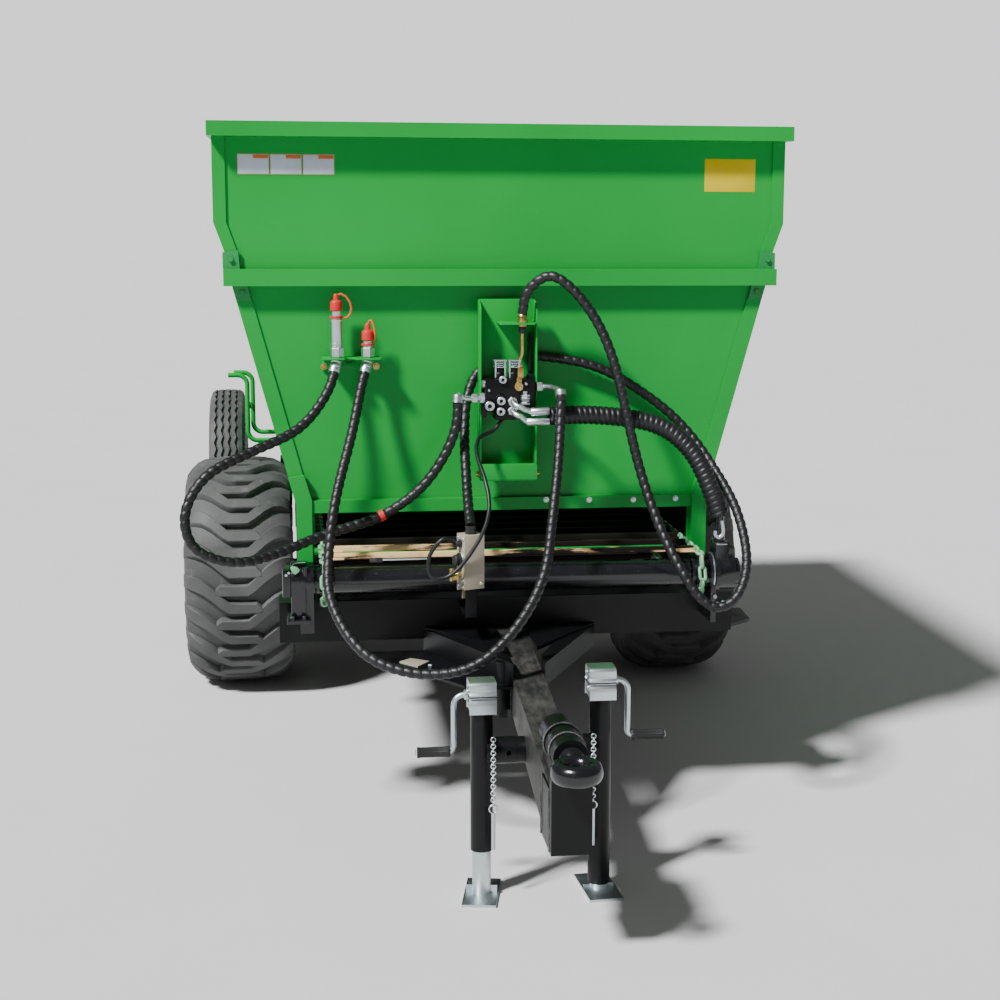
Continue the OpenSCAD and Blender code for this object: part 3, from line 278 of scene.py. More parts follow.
# %% Finishes on the solids
def brushed_black():
    material, graph, shader, place = start_finish("brushed_black")
    strokes = noise(graph, place, 46, 7, 0.6, stretch=(1.0, 0.4, 1.0))
    dull = graph.soft_step(noise(graph, place, 12, 4), 0.25, 0.75)
    smear = graph.soft_step(strokes, 0.25, 0.75) * (0.3 + 0.7 * dull)
    graph.feed(shader["Base Color"], graph.blend(smear, (0.012, 0.012, 0.0125), (0.060, 0.057, 0.053)))
    graph.feed(shader["Roughness"], 0.42 + 0.2 * smear)
    shader["Specular IOR Level"].default_value = 0.22
    roughen(graph, shader, strokes, 0.5, 0.001)
    return material


def dress_solids():
    for row in frame["record"]["subparts"]:
        materials = frame["nodes"][row["node"]].data.materials
        materials.clear()
        materials.append(FINISHES[row["material_slot"]])
    special = dict.fromkeys(("front_roller", "conveyor_motor", "conveyor_bearings"), FINISHES["eye_steel"])
    # Inside the hopper the green is darkened near the floor, fading upwards: painted shade.
    special["hopper_shell"] = paint("stained_green", stain_and_painted_light=hopper_painted_shade, **GREEN)
    special["drawbar"] = brushed_black()
    for name, finish in special.items():
        frame["nodes"][name].data.materials[0] = finish


dress_solids()

# %% [markdown]
# A geometry tree takes a route or a loose piece and returns what follows from it. Each tree has named
# inputs, ends in real geometry with one material, and is run once, so that the result is a plain mesh.

# %% Geometry trees and plain meshes
def tree_of(name, sockets, build):
    """Makes a tree whose inputs are Geometry, the sockets and Material, and whose shape build() adds."""
    tree = bpy.data.node_groups.new(name, "GeometryNodeTree")
    names = {}
    for label, kind, value in [("Geometry", "Geometry", None), *sockets, ("Material", "Material", None)]:
        socket = tree.interface.new_socket(label, in_out="INPUT", socket_type="NodeSocket" + kind)
        if value is not None:
            socket.default_value = value
        names[label] = socket.identifier
    tree.interface.new_socket("Geometry", in_out="OUTPUT", socket_type="NodeSocketGeometry")
    graph = Graph(tree)
    source = graph.add("NodeGroupInput", out=None)
    given = {label: Wire(graph, source.outputs[label]) for label in names}
    real = graph.add("GeometryNodeRealizeInstances", {}, {"Geometry": build(graph, given)})
    coloured = graph.add("GeometryNodeSetMaterial", {}, {"Geometry": real, "Material": given["Material"]})
    graph.feed(graph.add("NodeGroupOutput", out=None).inputs["Geometry"], coloured)
    print(name, "has", len(tree.nodes), "nodes")
    return tree, names


def frozen(name, source, tree, values):
    """Runs a tree on an object and keeps the result as a plain mesh object."""
    modifier = source.modifiers.new("shape", "NODES")
    modifier.node_group, names = tree
    for key, value in values.items():
        modifier[names[key]] = value
    bpy.context.view_layer.update()
    ready = source.evaluated_get(bpy.context.evaluated_depsgraph_get())
    mesh = bpy.data.meshes.new_from_object(ready)
    bpy.data.objects.remove(source)
    return object_of(name, mesh)


def object_of(name, data):
    data.name = name
    thing = bpy.data.objects.new(name, data)
    scene.collection.objects.link(thing)
    return thing


def curve_object(name, line, closed=False):
    data = bpy.data.curves.new(name, "CURVE")
    data.dimensions = "3D"
    spline = data.splines.new("POLY")
    spline.points.add(len(line) - 1)
    for point, place in zip(spline.points, line):
        point.co = (*place, 1)
    spline.use_cyclic_u = closed
    return object_of(name, data)


# %% [markdown]
# The hoses wear a spiral guard: a plastic rib wound round the hose. A bump map would look flat at the
# edges of a hose, so the rib is real. A geometry tree turns the route into a tube, and moves each ring of
# it in and out by a wave that climbs one pitch for each turn.

# %% Routes of the hoses, in millimetres from the front panel's middle at ground level
SUPPLY = [(-508, -60, 1380), (-536, -110, 1290), (-621, -180, 1190), (-765, -260, 1136),
          (-890, -330, 1083), (-950, -362, 985), (-935, -370, 891), (-867, -370, 846),
          (-784, -350, 832), (-685, -300, 850), (-540, -225, 892), (-391, -185, 926),
          (-272, -175, 1004), (-200, -172, 1100), (-162, -165, 1190), (-156, -156, 1262)]
RETURN = [(-416, -60, 1380), (-440, -100, 1300), (-470, -190, 1180), (-526, -300, 1000),
          (-550, -360, 837), (-548, -440, 738), (-495, -520, 641), (-415, -575, 581),
          (-280, -615, 556), (-145, -645, 590), (-29, -600, 689), (52, -530, 812), (90, -410, 947),
          (124, -300, 1106), (138, -240, 1233), (142, -226, 1290)]
REMOTE = [(40, -118, 1520), (52, -125, 1590), (117, -150, 1640), (189, -170, 1592),
          (261, -190, 1491), (310, -215, 1359), (348, -232, 1182), (385, -250, 1035),
          (428, -320, 893), (477, -390, 783), (530, -420, 703), (585, -430, 680),
          (644, -425, 720), (680, -370, 815), (671, -260, 948), (625, -130, 1060),
          (559, -70, 1160), (461, -45, 1251), (290, -40, 1355), (116, -25, 1388),
          (15, -25, 1384), (-83, -25, 1346), (-123, -62, 1259), (-134, -120, 1144),
          (-136, -200, 1040), (-140, -300, 965), (-140, -361, 927)]
MOTOR = [(112, -190, 1223), (232, -172, 1224), (384, -168, 1208), (478, -180, 1176),
         (552, -205, 1104), (594, -230, 1010), (624, -240, 924)]
WIRES = [(-185, -377, 880), (-222, -402, 905), (-266, -400, 850), (-262, -405, 790),
         (-215, -405, 785), (-169, -405, 822), (-112, -400, 905), (-86, -380, 985),
         (-95, -330, 1060), (-112, -250, 1120), (-98, -175, 1160), (-50, -135, 1172),
         (-20, -122, 1205)]


def smooth_route(points, parts=10):
    """A smooth line that runs midway between one through the points and one inside their corners."""
    ends = [2 * points[0] - points[1]] + points + [2 * points[-1] - points[-2]]
    line = []
    for i in range(len(points) - 1):
        a, b, c, d = ends[i:i + 4]
        for k in range(parts):
            t = k / parts
            through = 0.5 * (2 * b + (c - a) * t + (2 * a - 5 * b + 4 * c - d) * t * t
                             + (3 * b - a - 3 * c + d) * t ** 3)
            inside = ((1 - t) ** 3 * a + (3 * t ** 3 - 6 * t * t + 4) * b
                      + (-3 * t ** 3 + 3 * t * t + 3 * t + 1) * c + t ** 3 * d) / 6
            line.append(0.55 * through + 0.45 * inside)
    return line + [points[-1].copy()]


def metres(points):
    return [Vector(point) / 1000 + Vector((0, FRONT, 0)) for point in points]


def line_length(line):
    return sum((b - a).length for a, b in zip(line, line[1:]))


# %% The tree that winds a guard
def wind_guard(graph, given):
    def kept(shape, name, value):
        node = graph.add("GeometryNodeCaptureAttribute", {"domain": "POINT"}, out=None)
        node.capture_items.new("FLOAT", name)
        graph.feed(node.inputs["Geometry"], shape)
        graph.feed(node.inputs[name], value)
        return Wire(graph, node.outputs["Geometry"]), Wire(graph, node.outputs[name])

    route = graph.add("GeometryNodeResampleCurve", {"mode": "LENGTH"},
                      {"Curve": given["Geometry"], "Length": given["Step"]})
    route, along = kept(route, "along", graph.add("GeometryNodeSplineParameter", out="Length"))
    ring = graph.add("GeometryNodeCurvePrimitiveCircle", {"mode": "RADIUS"},
                     {"Resolution": given["Sides"], "Radius": given["Radius"]})
    ring, turn = kept(ring, "turn", graph.add("GeometryNodeSplineParameter", out="Factor"))
    tube = graph.add("GeometryNodeCurveToMesh", {},
                     {"Curve": route, "Profile Curve": ring, "Fill Caps": True})
    climb = along / given["Pitch"] - turn
    wave = climb.sum("FRACT", climb) * 2 - 1
    push = graph.add("ShaderNodeVectorMath", {"operation": "SCALE"}, {
        "Vector": graph.add("GeometryNodeInputNormal"), "Scale": abs(wave) ** 3 * given["Depth"] * -1})
    shaped = graph.add("GeometryNodeSetPosition", {}, {"Geometry": tube, "Offset": push})
    return graph.add("GeometryNodeSetShadeSmooth", {}, {"Geometry": shaped})


GUARD = tree_of("spiral_guard", [
    ("Radius", "Float", 0.015), ("Pitch", "Float", 0.02), ("Depth", "Float", 0.002),
    ("Step", "Float", 0.003), ("Sides", "Int", 14)], wind_guard)


# %% The hoses and wires
def guarded_hose(name, node, route, diameter, pitch, depth, step=0.003, sides=14):
    line = smooth_route(metres(route))
    piece = frozen(name, curve_object(name + "_route", line), GUARD, {
        "Radius": diameter / 2, "Pitch": pitch, "Depth": depth, "Step": step, "Sides": sides,
        "Material": FINISHES["hose_rubber"]})
    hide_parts(node)
    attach(piece, "chassis")
    length = line_length(line)
    tuple(line[0])
    [tuple(p) for p in line]
    print(name, round(length, 3), "m,", len(piece.data.polygons), "faces")


guarded_hose("supply_hose", "hose_supply", SUPPLY, 0.030, 0.026, 0.0028)
guarded_hose("return_hose", "hose_return", RETURN, 0.030, 0.026, 0.0028)
guarded_hose("remote_hose", "hose_remote", REMOTE, 0.030, 0.026, 0.0028)
guarded_hose("motor_hoses", "hose_motor", MOTOR, 0.056, 0.017, 0.0040, sides=20)
guarded_hose("control_wires", "box_wires", WIRES, 0.012, 0.05, 0.0004, 0.005, 10)

# %% [markdown]
# Fittings, bolts and rods are turned or cut from bar, and their edges are never sharp. One small class
# collects such shapes into a mesh: a turned shape is a list of distances and radii swung round an axis,
# and a block gets every edge eased, so that each edge catches a thin line of light. Its numbers are
# millimetres, measured like the routes, and each point is brought to metres as it is set.

# %% Simple shapes with eased edges
OUT, UP, DOWN, LEFT, RIGHT = (0, -1, 0), (0, 0, 1), (0, 0, -1), (-1, 0, 0), (1, 0, 0)


def circle(count):
    return [2 * math.pi * k / count for k in range(count)]


class Shape:
    """Solids that are collected into one mesh, which lies in metres. origin is where the numbers that it is
    given start from, and parts is how many of their units make a metre."""

    def __init__(self, origin=(0, FRONT, 0), parts=1000):
        self.mesh, self.origin, self.parts = bmesh.new(), origin, parts

    def put(self, points):
        """Brings points to metres."""
        return [Vector([start + value / self.parts for start, value in zip(self.origin, point)])
                for point in points]

    def skin(self, rings, closed=False):
        """Joins rings of points with faces. A run that is not closed gets a cap at each end."""
        rings = [[self.mesh.verts.new(place) for place in self.put(ring)] for ring in rings]
        for low, high in zip(rings, rings[1:] + (rings[:1] if closed else [])):
            for k in range(len(low)):
                n = (k + 1) % len(low)
                self.mesh.faces.new((low[k], low[n], high[n], high[k]))
        if not closed:
            self.mesh.faces.new(rings[0][::-1])
            self.mesh.faces.new(rings[-1])
        return self

    def turned(self, start, along, profile, sides=28, flute=(0, 0.0)):
        """Swings (distance, radius) pairs round the axis that leaves start in the direction along.

        A third number makes that ring a polygon with so many corners."""
        start, along = Vector(start), Vector(along).normalized()
        side = along.orthogonal().normalized()
        other = along.cross(side)
        rings = []
        for distance, radius, *corners in profile:
            rings.append([])
            for a in circle(sides):
                reach = radius * (1 + flute[1] * (math.cos(flute[0] * a) - 1) / 2)
                if corners:
                    half = math.pi / corners[0]
                    reach *= math.cos(half) / math.cos(a % (2 * half) - half)
                rings[-1].append(start + along * distance
                                 + reach * (math.cos(a) * side + math.sin(a) * other))
        return self.skin(rings)

    def rod(self, start, end, radius, sides=24):
        start, end = Vector(start), Vector(end)
        length = (end - start).length
        e = min(radius, length) * 0.16
        profile = [(0, radius - e), (e, radius), (length - e, radius), (length, radius - e)]
        return self.turned(start, end - start, profile, sides)

    def hexagon(self, start, along, radius, height):
        return self.turned(start, along, [(0, radius * 0.94), (radius * 0.06, radius),
                                          (height - radius * 0.14, radius), (height, radius * 0.86)], 6)

    def washer(self, start, along, outer, inner, thick, sides=24):
        return self.turned(start, along, [(0, outer), (thick, outer), (thick, inner), (0.2, inner)], sides)

    def eased(self, edges, ease):
        """Rounds the edges. Neighbouring faces and corners may name the same edge more than once."""
        bmesh.ops.bevel(self.mesh, geom=list(set(edges)), offset=ease / self.parts, segments=2, profile=0.6,
                        affect="EDGES", clamp_overlap=True)
        return self

    def block(self, low, high, ease=1.5):
        low, high = self.put((low, high))
        place = Matrix.Translation((low + high) / 2) @ Matrix.Diagonal((*(high - low), 1))
        made = bmesh.ops.create_cube(self.mesh, size=1, matrix=place)
        return self.eased((edge for vert in made["verts"] for edge in vert.link_edges), ease)

    def slab(self, points, along, ease=1.0):
        """A flat outline made solid in the direction along, with eased edges."""
        return self.prism(self.put(points), along, ease)

    def prism(self, places, along, ease):
        """The same for an outline that is in metres already."""
        along = Vector([value / self.parts for value in along])
        near = [self.mesh.verts.new(place) for place in places]
        far = [self.mesh.verts.new(place + along) for place in places]
        faces = [self.mesh.faces.new(near), self.mesh.faces.new(far[::-1])]
        for k in range(len(places)):
            n = (k + 1) % len(places)
            faces.append(self.mesh.faces.new((near[n], near[k], far[k], far[n])))
        bmesh.ops.recalc_face_normals(self.mesh, faces=faces)
        return self.eased((edge for face in faces for edge in face.edges), ease)

    def sheet(self, line, thick, along, ease):
        """Sheet metal folded along a line, whose thickness lies to one side of it."""
        line, axis = self.put(line), Vector([value / self.parts for value in along]).normalized()
        inner = []
        for i, place in enumerate(line):
            first = (place - line[i - 1]).normalized() if i else (line[1] - place).normalized()
            last = (line[i + 1] - place).normalized() if i < len(line) - 1 else first
            across = axis.cross((first + last).normalized())
            inner.append(place + across * (thick / self.parts) / max(0.4, across.dot(axis.cross(last))))
        return self.prism(line + inner[::-1], along, ease)

    def tube(self, line, radius, sides=12, closed=False):
        """A round bar bent along a line of points."""
        line = [Vector(p) for p in line]
        count = len(line)
        normal, rings = None, []
        for i, place in enumerate(line):
            before = line[(i - 1) % count] if closed or i else place
            after = line[(i + 1) % count] if closed or i < count - 1 else place
            ahead = (after - before).normalized()
            normal = ahead.orthogonal() if normal is None else normal - normal.dot(ahead) * ahead
            normal.normalize()
            side = ahead.cross(normal)
            rings.append([place + radius * (math.cos(a) * normal + math.sin(a) * side)
                          for a in circle(sides)])
        return self.skin(rings, closed)

    def join(self, piece):
        """Takes in a plain mesh object and removes it."""
        piece.data.transform(Matrix.Translation(self.origin))
        self.mesh.from_mesh(piece.data)
        bpy.data.objects.remove(piece)
        return self

    def loose(self, name):
        """Turns the shape into an object, which has no finish and no body yet."""
        bmesh.ops.recalc_face_normals(self.mesh, faces=self.mesh.faces)
        mesh = bpy.data.meshes.new(name)
        self.mesh.to_mesh(mesh)
        self.mesh.free()
        return object_of(name, mesh)

    def done(self, name, slot, *nodes, body="chassis", angle=38, finish=None):
        """Gives the finished piece its look, its body and the solids it stands for."""
        piece = self.loose(name)
        piece.data.shade_smooth()
        piece.data.set_sharp_from_angle(angle=math.radians(angle))
        piece.data.materials.append(finish or FINISHES[slot])
        if nodes:
            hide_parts(*nodes)
        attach(piece, body)
        print(name, "rides on", body, "with", len(piece.data.polygons), "faces")


def at_x(x, outline):
    return [(x, y, z) for y, z in outline]


def at_y(y, outline):
    return [(x, y, z) for x, z in outline]


def at_z(z, outline):
    return [(x, y, z) for x, y in outline]


def arc(centre, start, end, parts=8):
    """Points on the round corner between two directions, given as places."""
    centre = Vector(centre)
    a, b = Vector(start) - centre, Vector(end) - centre
    return [centre + a * math.cos(t) + b * math.sin(t)
            for t in (math.pi / 2 * k / parts for k in range(parts + 1))]


# %% [markdown]
# The big tyres are flotation tyres with two rows of bent lugs that reach over the middle in turn. One
# lug is built flat as a strip of stations, each with its place across the tyre and along the tread, and
# then wrapped on the crown. A geometry tree sets copies of it round the wheel.

# %% A tree that sets copies round an axle
def set_round(graph, given):
    points = graph.add("GeometryNodeMeshLine", {"mode": "OFFSET"},
                       {"Count": given["Count"], "Offset": (0, 0, 0)})
    turn = graph.add("GeometryNodeInputIndex") * (2 * math.pi) / given["Count"]
    return graph.add("GeometryNodeInstanceOnPoints", {}, {
        "Points": points, "Instance": given["Geometry"],
        "Rotation": graph.add("ShaderNodeCombineXYZ", {}, {"X": turn})})


ROUND = tree_of("round_the_axle", [("Count", "Int", 20)], set_round)
TYRE_R, TYRE_HALF, LUGS = 0.437, 0.202, 20


def crown(x):
    """Radius of the lugs' tops at a place across the tyre."""
    return TYRE_R - 0.074 * (abs(x) / TYRE_HALF) ** 5


def groove(x):
    """Radius of the rubber between the lugs."""
    return crown(x) - 0.026 * (1 - (abs(x) / TYRE_HALF) ** 8)


# Each station: its place across the tyre, its place along the tread, and half the lug's width there.
LUG_LINE = [(-0.084, -0.006, 0.010), (-0.066, 0.0, 0.0205), (0.0, 0.0, 0.021), (0.036, 0.001, 0.022),
            (0.062, 0.022, 0.026), (0.100, 0.058, 0.028), (0.132, 0.082, 0.029), (0.160, 0.094, 0.030),
            (0.184, 0.099, 0.030), (0.198, 0.100, 0.029), (0.2035, 0.100, 0.026)]


def lug_object(side):
    rows = []
    for x, along, half in LUG_LINE:
        top, low = crown(min(x, TYRE_HALF)), groove(min(x, TYRE_HALF)) - 0.006
        if x > TYRE_HALF:
            top, low = top - 0.02, low - 0.03
        rows.append([])
        for shift, radius in ((-half - 0.006, low), (-half, top - 0.004), (-half + 0.004, top),
                              (half - 0.004, top), (half, top - 0.004), (half + 0.006, low)):
            turn = (along + shift) / TYRE_R
            rows[-1].append((side * x, -radius * math.cos(turn), radius * math.sin(turn)))
    lug = Shape((0, 0, 0), 1).skin(rows).loose("lug")
    if side < 0:
        lug.data.transform(Matrix.Rotation(math.pi / LUGS, 4, "X"))
    return lug


HALF_PROFILE = [(x, groove(x)) for x in (0.0, 0.05, 0.09, 0.13, 0.16, 0.18, 0.193)] + [
    (0.200, 0.352), (0.2015, 0.33), (0.200, 0.30), (0.1965, 0.297), (0.196, 0.292), (0.192, 0.262),
    (0.184, 0.232), (0.176, 0.216), (0.170, 0.207), (0.162, 0.2015), (0.15, 0.1985)]
TYRE_PROFILE = HALF_PROFILE + [(-x, r) for x, r in reversed(HALF_PROFILE) if x > 0]


def flotation_tyre(end):
    low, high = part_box("tyre_" + end)
    tyre = Shape((low + high) / 2, 1).skin(
        [[(x, r * math.cos(a), r * math.sin(a)) for x, r in TYRE_PROFILE] for a in circle(96)], closed=True)
    for side in (-1, 1):
        tyre.join(frozen("row", lug_object(side), ROUND, {"Count": LUGS, "Material": FINISHES["tyre"]}))
    tyre.done("lugged_tyre_" + end, "tyre", "tyre_" + end, body="wheel_" + end, angle=32)


flotation_tyre("left")
flotation_tyre("right")

# %% [markdown]
# The spare is a road tyre with straight ribs and zigzag grooves. Its profile is swung round like the
# others, but the columns that make the groove walls wander sideways as they go round.

# %% The ribbed spare tyre
def ribbed_tyre(sides=252, bend=6):
    low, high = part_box("spare_tyre")
    radius, half = (high.z - low.z) / 2, (high.x - low.x) / 2
    wall = [(half * 0.86, 0.972, 0), (half * 0.99, 0.90, 0), (half, 0.78, 0), (half * 0.80, 0.62, 0)]
    rows = [(-x, r, 0) for x, r, _ in reversed(wall)]
    for middle in (-0.56, -0.19, 0.19, 0.56):
        for shift, depth in ((-0.075, 0), (-0.05, 0.034), (0.05, 0.034), (0.075, 0)):
            rows.append((half * (middle + shift), 1 - depth - 0.03 * abs(middle) ** 3, half * 0.055))
    rows += wall + [(half * 0.70, 0.56, 0), (-half * 0.70, 0.56, 0)]
    rings = []
    for k, a in enumerate(circle(sides)):
        sway = abs((k % bend) - bend / 2) / (bend / 4) - 1
        rings.append([(x + sway * wander, radius * r * math.cos(a), radius * r * math.sin(a))
                      for x, r, wander in rows])
    Shape((low + high) / 2, 1).skin(rings, closed=True).done(
        "ribbed_spare_tyre", "tyre", "spare_tyre", angle=30)


ribbed_tyre()

# %% [markdown]
# The hopper's floor moves: two chains run round a roller at each end and carry tan slats between them.
# Everything on it follows one loop, so a geometry tree walks that loop and sets a slat or a link at each
# step, turned to follow it.

# %% A tree that sets copies along a loop
def set_along(graph, given):
    stops = graph.add("GeometryNodeCurveToPoints", {"mode": "COUNT"},
                      {"Curve": given["Geometry"], "Count": given["Count"]}, None)
    turn = graph.add("FunctionNodeAlignRotationToVector", {"axis": "Y", "pivot_axis": "X"},
                     {"Vector": Wire(graph, stops.outputs["Tangent"])})
    piece = graph.add("GeometryNodeObjectInfo", {}, {"Object": given["Piece"]}, "Geometry")
    return graph.add("GeometryNodeInstanceOnPoints", {}, {
        "Points": Wire(graph, stops.outputs["Points"]), "Instance": piece, "Rotation": turn})


LOOP = tree_of("along_the_loop", [("Piece", "Object", None), ("Count", "Int", 38)], set_along)
FLOOR_FRONT, FLOOR_REAR, ROLLER_Z = -1.0165, 1.6835, 0.752  # the rollers' axes
STRAIGHT, BEND = 60, 24  # how many points a straight run and half a turn have


def floor_loop(x, radius):
    run = (FLOOR_REAR - FLOOR_FRONT) / STRAIGHT
    turns = [math.pi * k / BEND for k in range(BEND)]
    top = [(x, FLOOR_FRONT + run * k, ROLLER_Z + radius) for k in range(STRAIGHT)]
    top += [(x, FLOOR_REAR + radius * math.sin(a), ROLLER_Z + radius * math.cos(a)) for a in turns]
    low = [(x, FLOOR_FRONT + FLOOR_REAR - y, 2 * ROLLER_Z - z) for x, y, z in top]
    return [Vector(p) for p in top + low]


def run_of(name, slot, item, lines, *nodes, angle=35):
    """Sets an item along each line, given as points, closed and count, and makes one piece of it all."""
    whole = Shape((0, 0, 0), 1)
    for points, closed, count in lines:
        whole.join(frozen("run", curve_object("line", points, closed), LOOP,
                          {"Piece": item, "Count": count, "Material": FINISHES[slot]}))
    bpy.data.objects.remove(item)
    whole.done(name, slot, *nodes, angle=angle)


SLAT_R, SLAT_COUNT, SLAT_GAP = 0.0735, 48, 34  # no slat lies on the last points, before the front roller
CHAIN_R, CHAIN_X, LINK_PAIRS = 0.062, 0.56, 80

slat = Shape((0, 0, 0)).block((-545, -7, -9), (545, 7, 7))
slat.block((-548, -16, -10.5), (-500, 16, -6), 1).block((500, -16, -10.5), (548, 16, -6), 1)
run_of("tan_slats", "slat_tan", slat.loose("slat"),
       [(floor_loop(0.0, SLAT_R)[:-SLAT_GAP], False, SLAT_COUNT)], "floor_slats")


def chain_link(half=11.5, bend=8.2, pitch=36.2):
    """Two links, one flat and one on edge."""
    shape = Shape((0, 0, 0))
    for k, flip in ((-0.5, 0), (0.5, 1)):
        line = []
        for a in circle(14):
            across = bend * math.sin(a)
            along = math.copysign(half, math.cos(a)) + bend * math.cos(a) + k * pitch
            line.append((0 if flip else across, along, across if flip else 0))
        shape.tube(line, 5, 8, closed=True)
    return shape.loose("link")


run_of("link_chains", "chain_green", chain_link(),
       [(floor_loop(x, CHAIN_R), True, LINK_PAIRS) for x in (-CHAIN_X, CHAIN_X)], "floor_chains")

# %% [markdown]
# The labels on the upper board are printed sheets half a millimetre thick. They stay plain here: a pale
# sheet with an orange block where the heading was, and one bare yellow sheet.

# %% Labels on the upper board
def sheet_finish(name, colour):
    return paint(name, colour, tuple(0.9 * c for c in colour), 0.38, dirt_colour=(0.35, 0.33, 0.28), spot=60,
                 drift=12)


def stick_labels(first=-789, step=95.3):
    rims, pale, heads = Shape(), Shape(), Shape()
    for x in (first, first + step, first + 2 * step):
        rims.block((x, -0.35, 1924.5), (x + 92.5, 0.3, 1984), 0.2)
        pale.block((x + 1.8, -0.65, 1926.5), (x + 90.7, 0.2, 1982), 0.2)
        heads.block((x + 46, -0.9, 1970.5), (x + 90, 0.1, 1981.5), 0.2)
    rims.done("label_rims", "box_beige", finish=sheet_finish("label_tan", (0.44, 0.25, 0.14)))
    pale.done("label_sheets", "label_pale", finish=sheet_finish("label_pale", (0.50, 0.57, 0.66)))
    heads.done("label_heads", "label_orange", finish=sheet_finish("label_orange", (0.50, 0.13, 0.03)))
    Shape().block((614, -0.6, 1882), (772, 0.2, 1980), 0.2).done(
        "yellow_label", "label_yellow", finish=sheet_finish("label_yellow", (0.62, 0.47, 0.0)))


stick_labels()

# %% [markdown]
# The valve sits in a folded channel on the front panel. Folded sheet has one thickness and rounded
# corners, so the channel's flanges are cut from flat outlines and every edge is eased.

# %% The channel for the valve
def valve_channel():
    side = ((-50, 1022), (-116, 1022), (-116, 1535), (-104, 1548), (-62, 1560), (-50, 1560))
    back = ((-86.5, 1022), (86.5, 1022), (86.5, 1554), (80, 1562), (-80, 1562), (-86.5, 1554))
    lip = ((-86, 1024), (86, 1024), (86, 1066), (80, 1073), (-80, 1073), (-86, 1066))
    shelf = ((-30, -54), (82, -54), (82, -132), (76, -138), (-24, -138), (-30, -132))
    shape = Shape()
    for x in (-86.5, 81.5):
        shape.slab(at_x(x, side), (5, 0, 0))
    shape.slab(at_y(-50, back), (0, -5, 0))
    shape.slab(at_y(-124, lip), (0, -5, 0), 1.5)
    shape.block((-86, -128, 1021), (86, -56, 1027), 2)
    shape.slab(at_z(1489, shelf), (0, 0, 6))
    for x in (-62, 62):
        for z in (1060, 1500):
            shape.block((x - 10, -50, z), (x + 10, 0, z + 20), 1)
    shape.done("valve_channel", "body_green", "valve_bracket")
    bolts = Shape()
    for side in (-1, 1):
        bolts.turned((side * 86.5, -96, 1038), (side, 0, 0),
                     [(0, 10), (2, 10), (2, 8.5), (8, 8.5), (11, 5)], 24)
    bolts.done("channel_bolts", "brass")


valve_channel()

# %% [markdown]
# The valve block is a black casting with drilled ports. The plugs in the ports are socket screws: a
# turned head with a six-sided hole, whose dark inside is what tells the eye that it is a plug. That dark
# inside is painted shade: a black post of the casting stands in each hole.

# %% The valve block and its plugs
PLUGS = ((-61, -147, 1250, 14.5), (-27, -147, 1265, 12.5), (-28, -145, 1233, 12.5), (-21, -138, 1327, 11.5))
PLUG_DEPTH, PIPE_R = 12, 8.5


def valve_body():
    shape = Shape()
    # A black post stands inside each plug's six-sided hole, so that the hole looks dark: painted shade.
    for x, y, z, radius in PLUGS:
        shape.rod((x, y, z), (x, y - 8.5, z), radius * 0.41, 12)
    shape.block((-74, -140, 1235), (76, -56, 1329), 4)
    shape.block((-42, -138, 1206), (22, -56, 1240), 4)
    shape.block((-82, -122, 1212), (-66, -60, 1262), 3)
    for x, z in ((-61, 1250), (-27, 1265)):
        shape.turned((x, -140, z), OUT, [(0, 19), (6, 19), (9, 16.5)], 32)
    shape.turned((-28, -138, 1233), OUT, [(0, 17), (7, 17), (10, 15)], 32)
    for x in (-26, 16):
        shape.turned((x, -112, 1329), UP, [(0, 18.5), (16, 18.5), (18, 17), (18, 13), (30, 13)], 32)
    shape.turned((-46, -124, 1313), LEFT, [(0, 12.5), (24, 12.5), (26, 11.5)], 28, flute=(14, 0.06))
    shape.block((64, -90, 1330), (71, -58, 1460), 2)
    shape.turned((67, -106, 1329), UP, [(0, 11.5), (10, 11.5), (13.5, 8)], 20)
    shape.done("valve_casting", "frame_black", "valve_block")


def plugs_and_springs(shape):
    for x, y, z, radius in PLUGS:
        shape.turned((x, y, z), OUT, [
            (0, radius), (PLUG_DEPTH - 1.5, radius), (PLUG_DEPTH, radius - 1.5), (PLUG_DEPTH, radius * 0.54),
            (PLUG_DEPTH - 0.5, radius * 0.50, 6), (PLUG_DEPTH - 7, radius * 0.48, 6)], 36)
    for x, wide in ((-26, 19), (16, 18.5)):
        for z, part in ((1361, 1.0), (1367, 0.86), (1373, 1.0), (1379, 0.7)):
            r = wide * part
            shape.turned((x, -112, z), UP, [(0, r - 2), (1, r), (3, r), (4, r - 2)])
        shape.block((x - 19, -131, 1381), (x + 19, -94, 1384.5), 0.8)
        for rod in (x - 14, x + 14):
            shape.rod((rod, -124, 1331), (rod, -124, 1381), 3.2)
    shape.turned((-70, -124, 1313), LEFT, [(0, 11.5), (1, 12.5), (9, 12.5), (11, 9)], 24)
    shape.turned((49, -140, 1314), OUT, [(0, 5.5), (4, 5.5), (8, 3)], 16)
    shape.turned((-61, -140, 1295), OUT, [(0, 4.8), (3, 4.5), (6, 2)], 16)
    for z, radius in ((1252, 15.5), (1260, 13), (1268, 15.5), (1276, 15.5)):
        shape.hexagon((46, -139, z), UP, radius, 7.5)
    shape.rod((46, -139, 1284), (46, -139, 1293), 8)


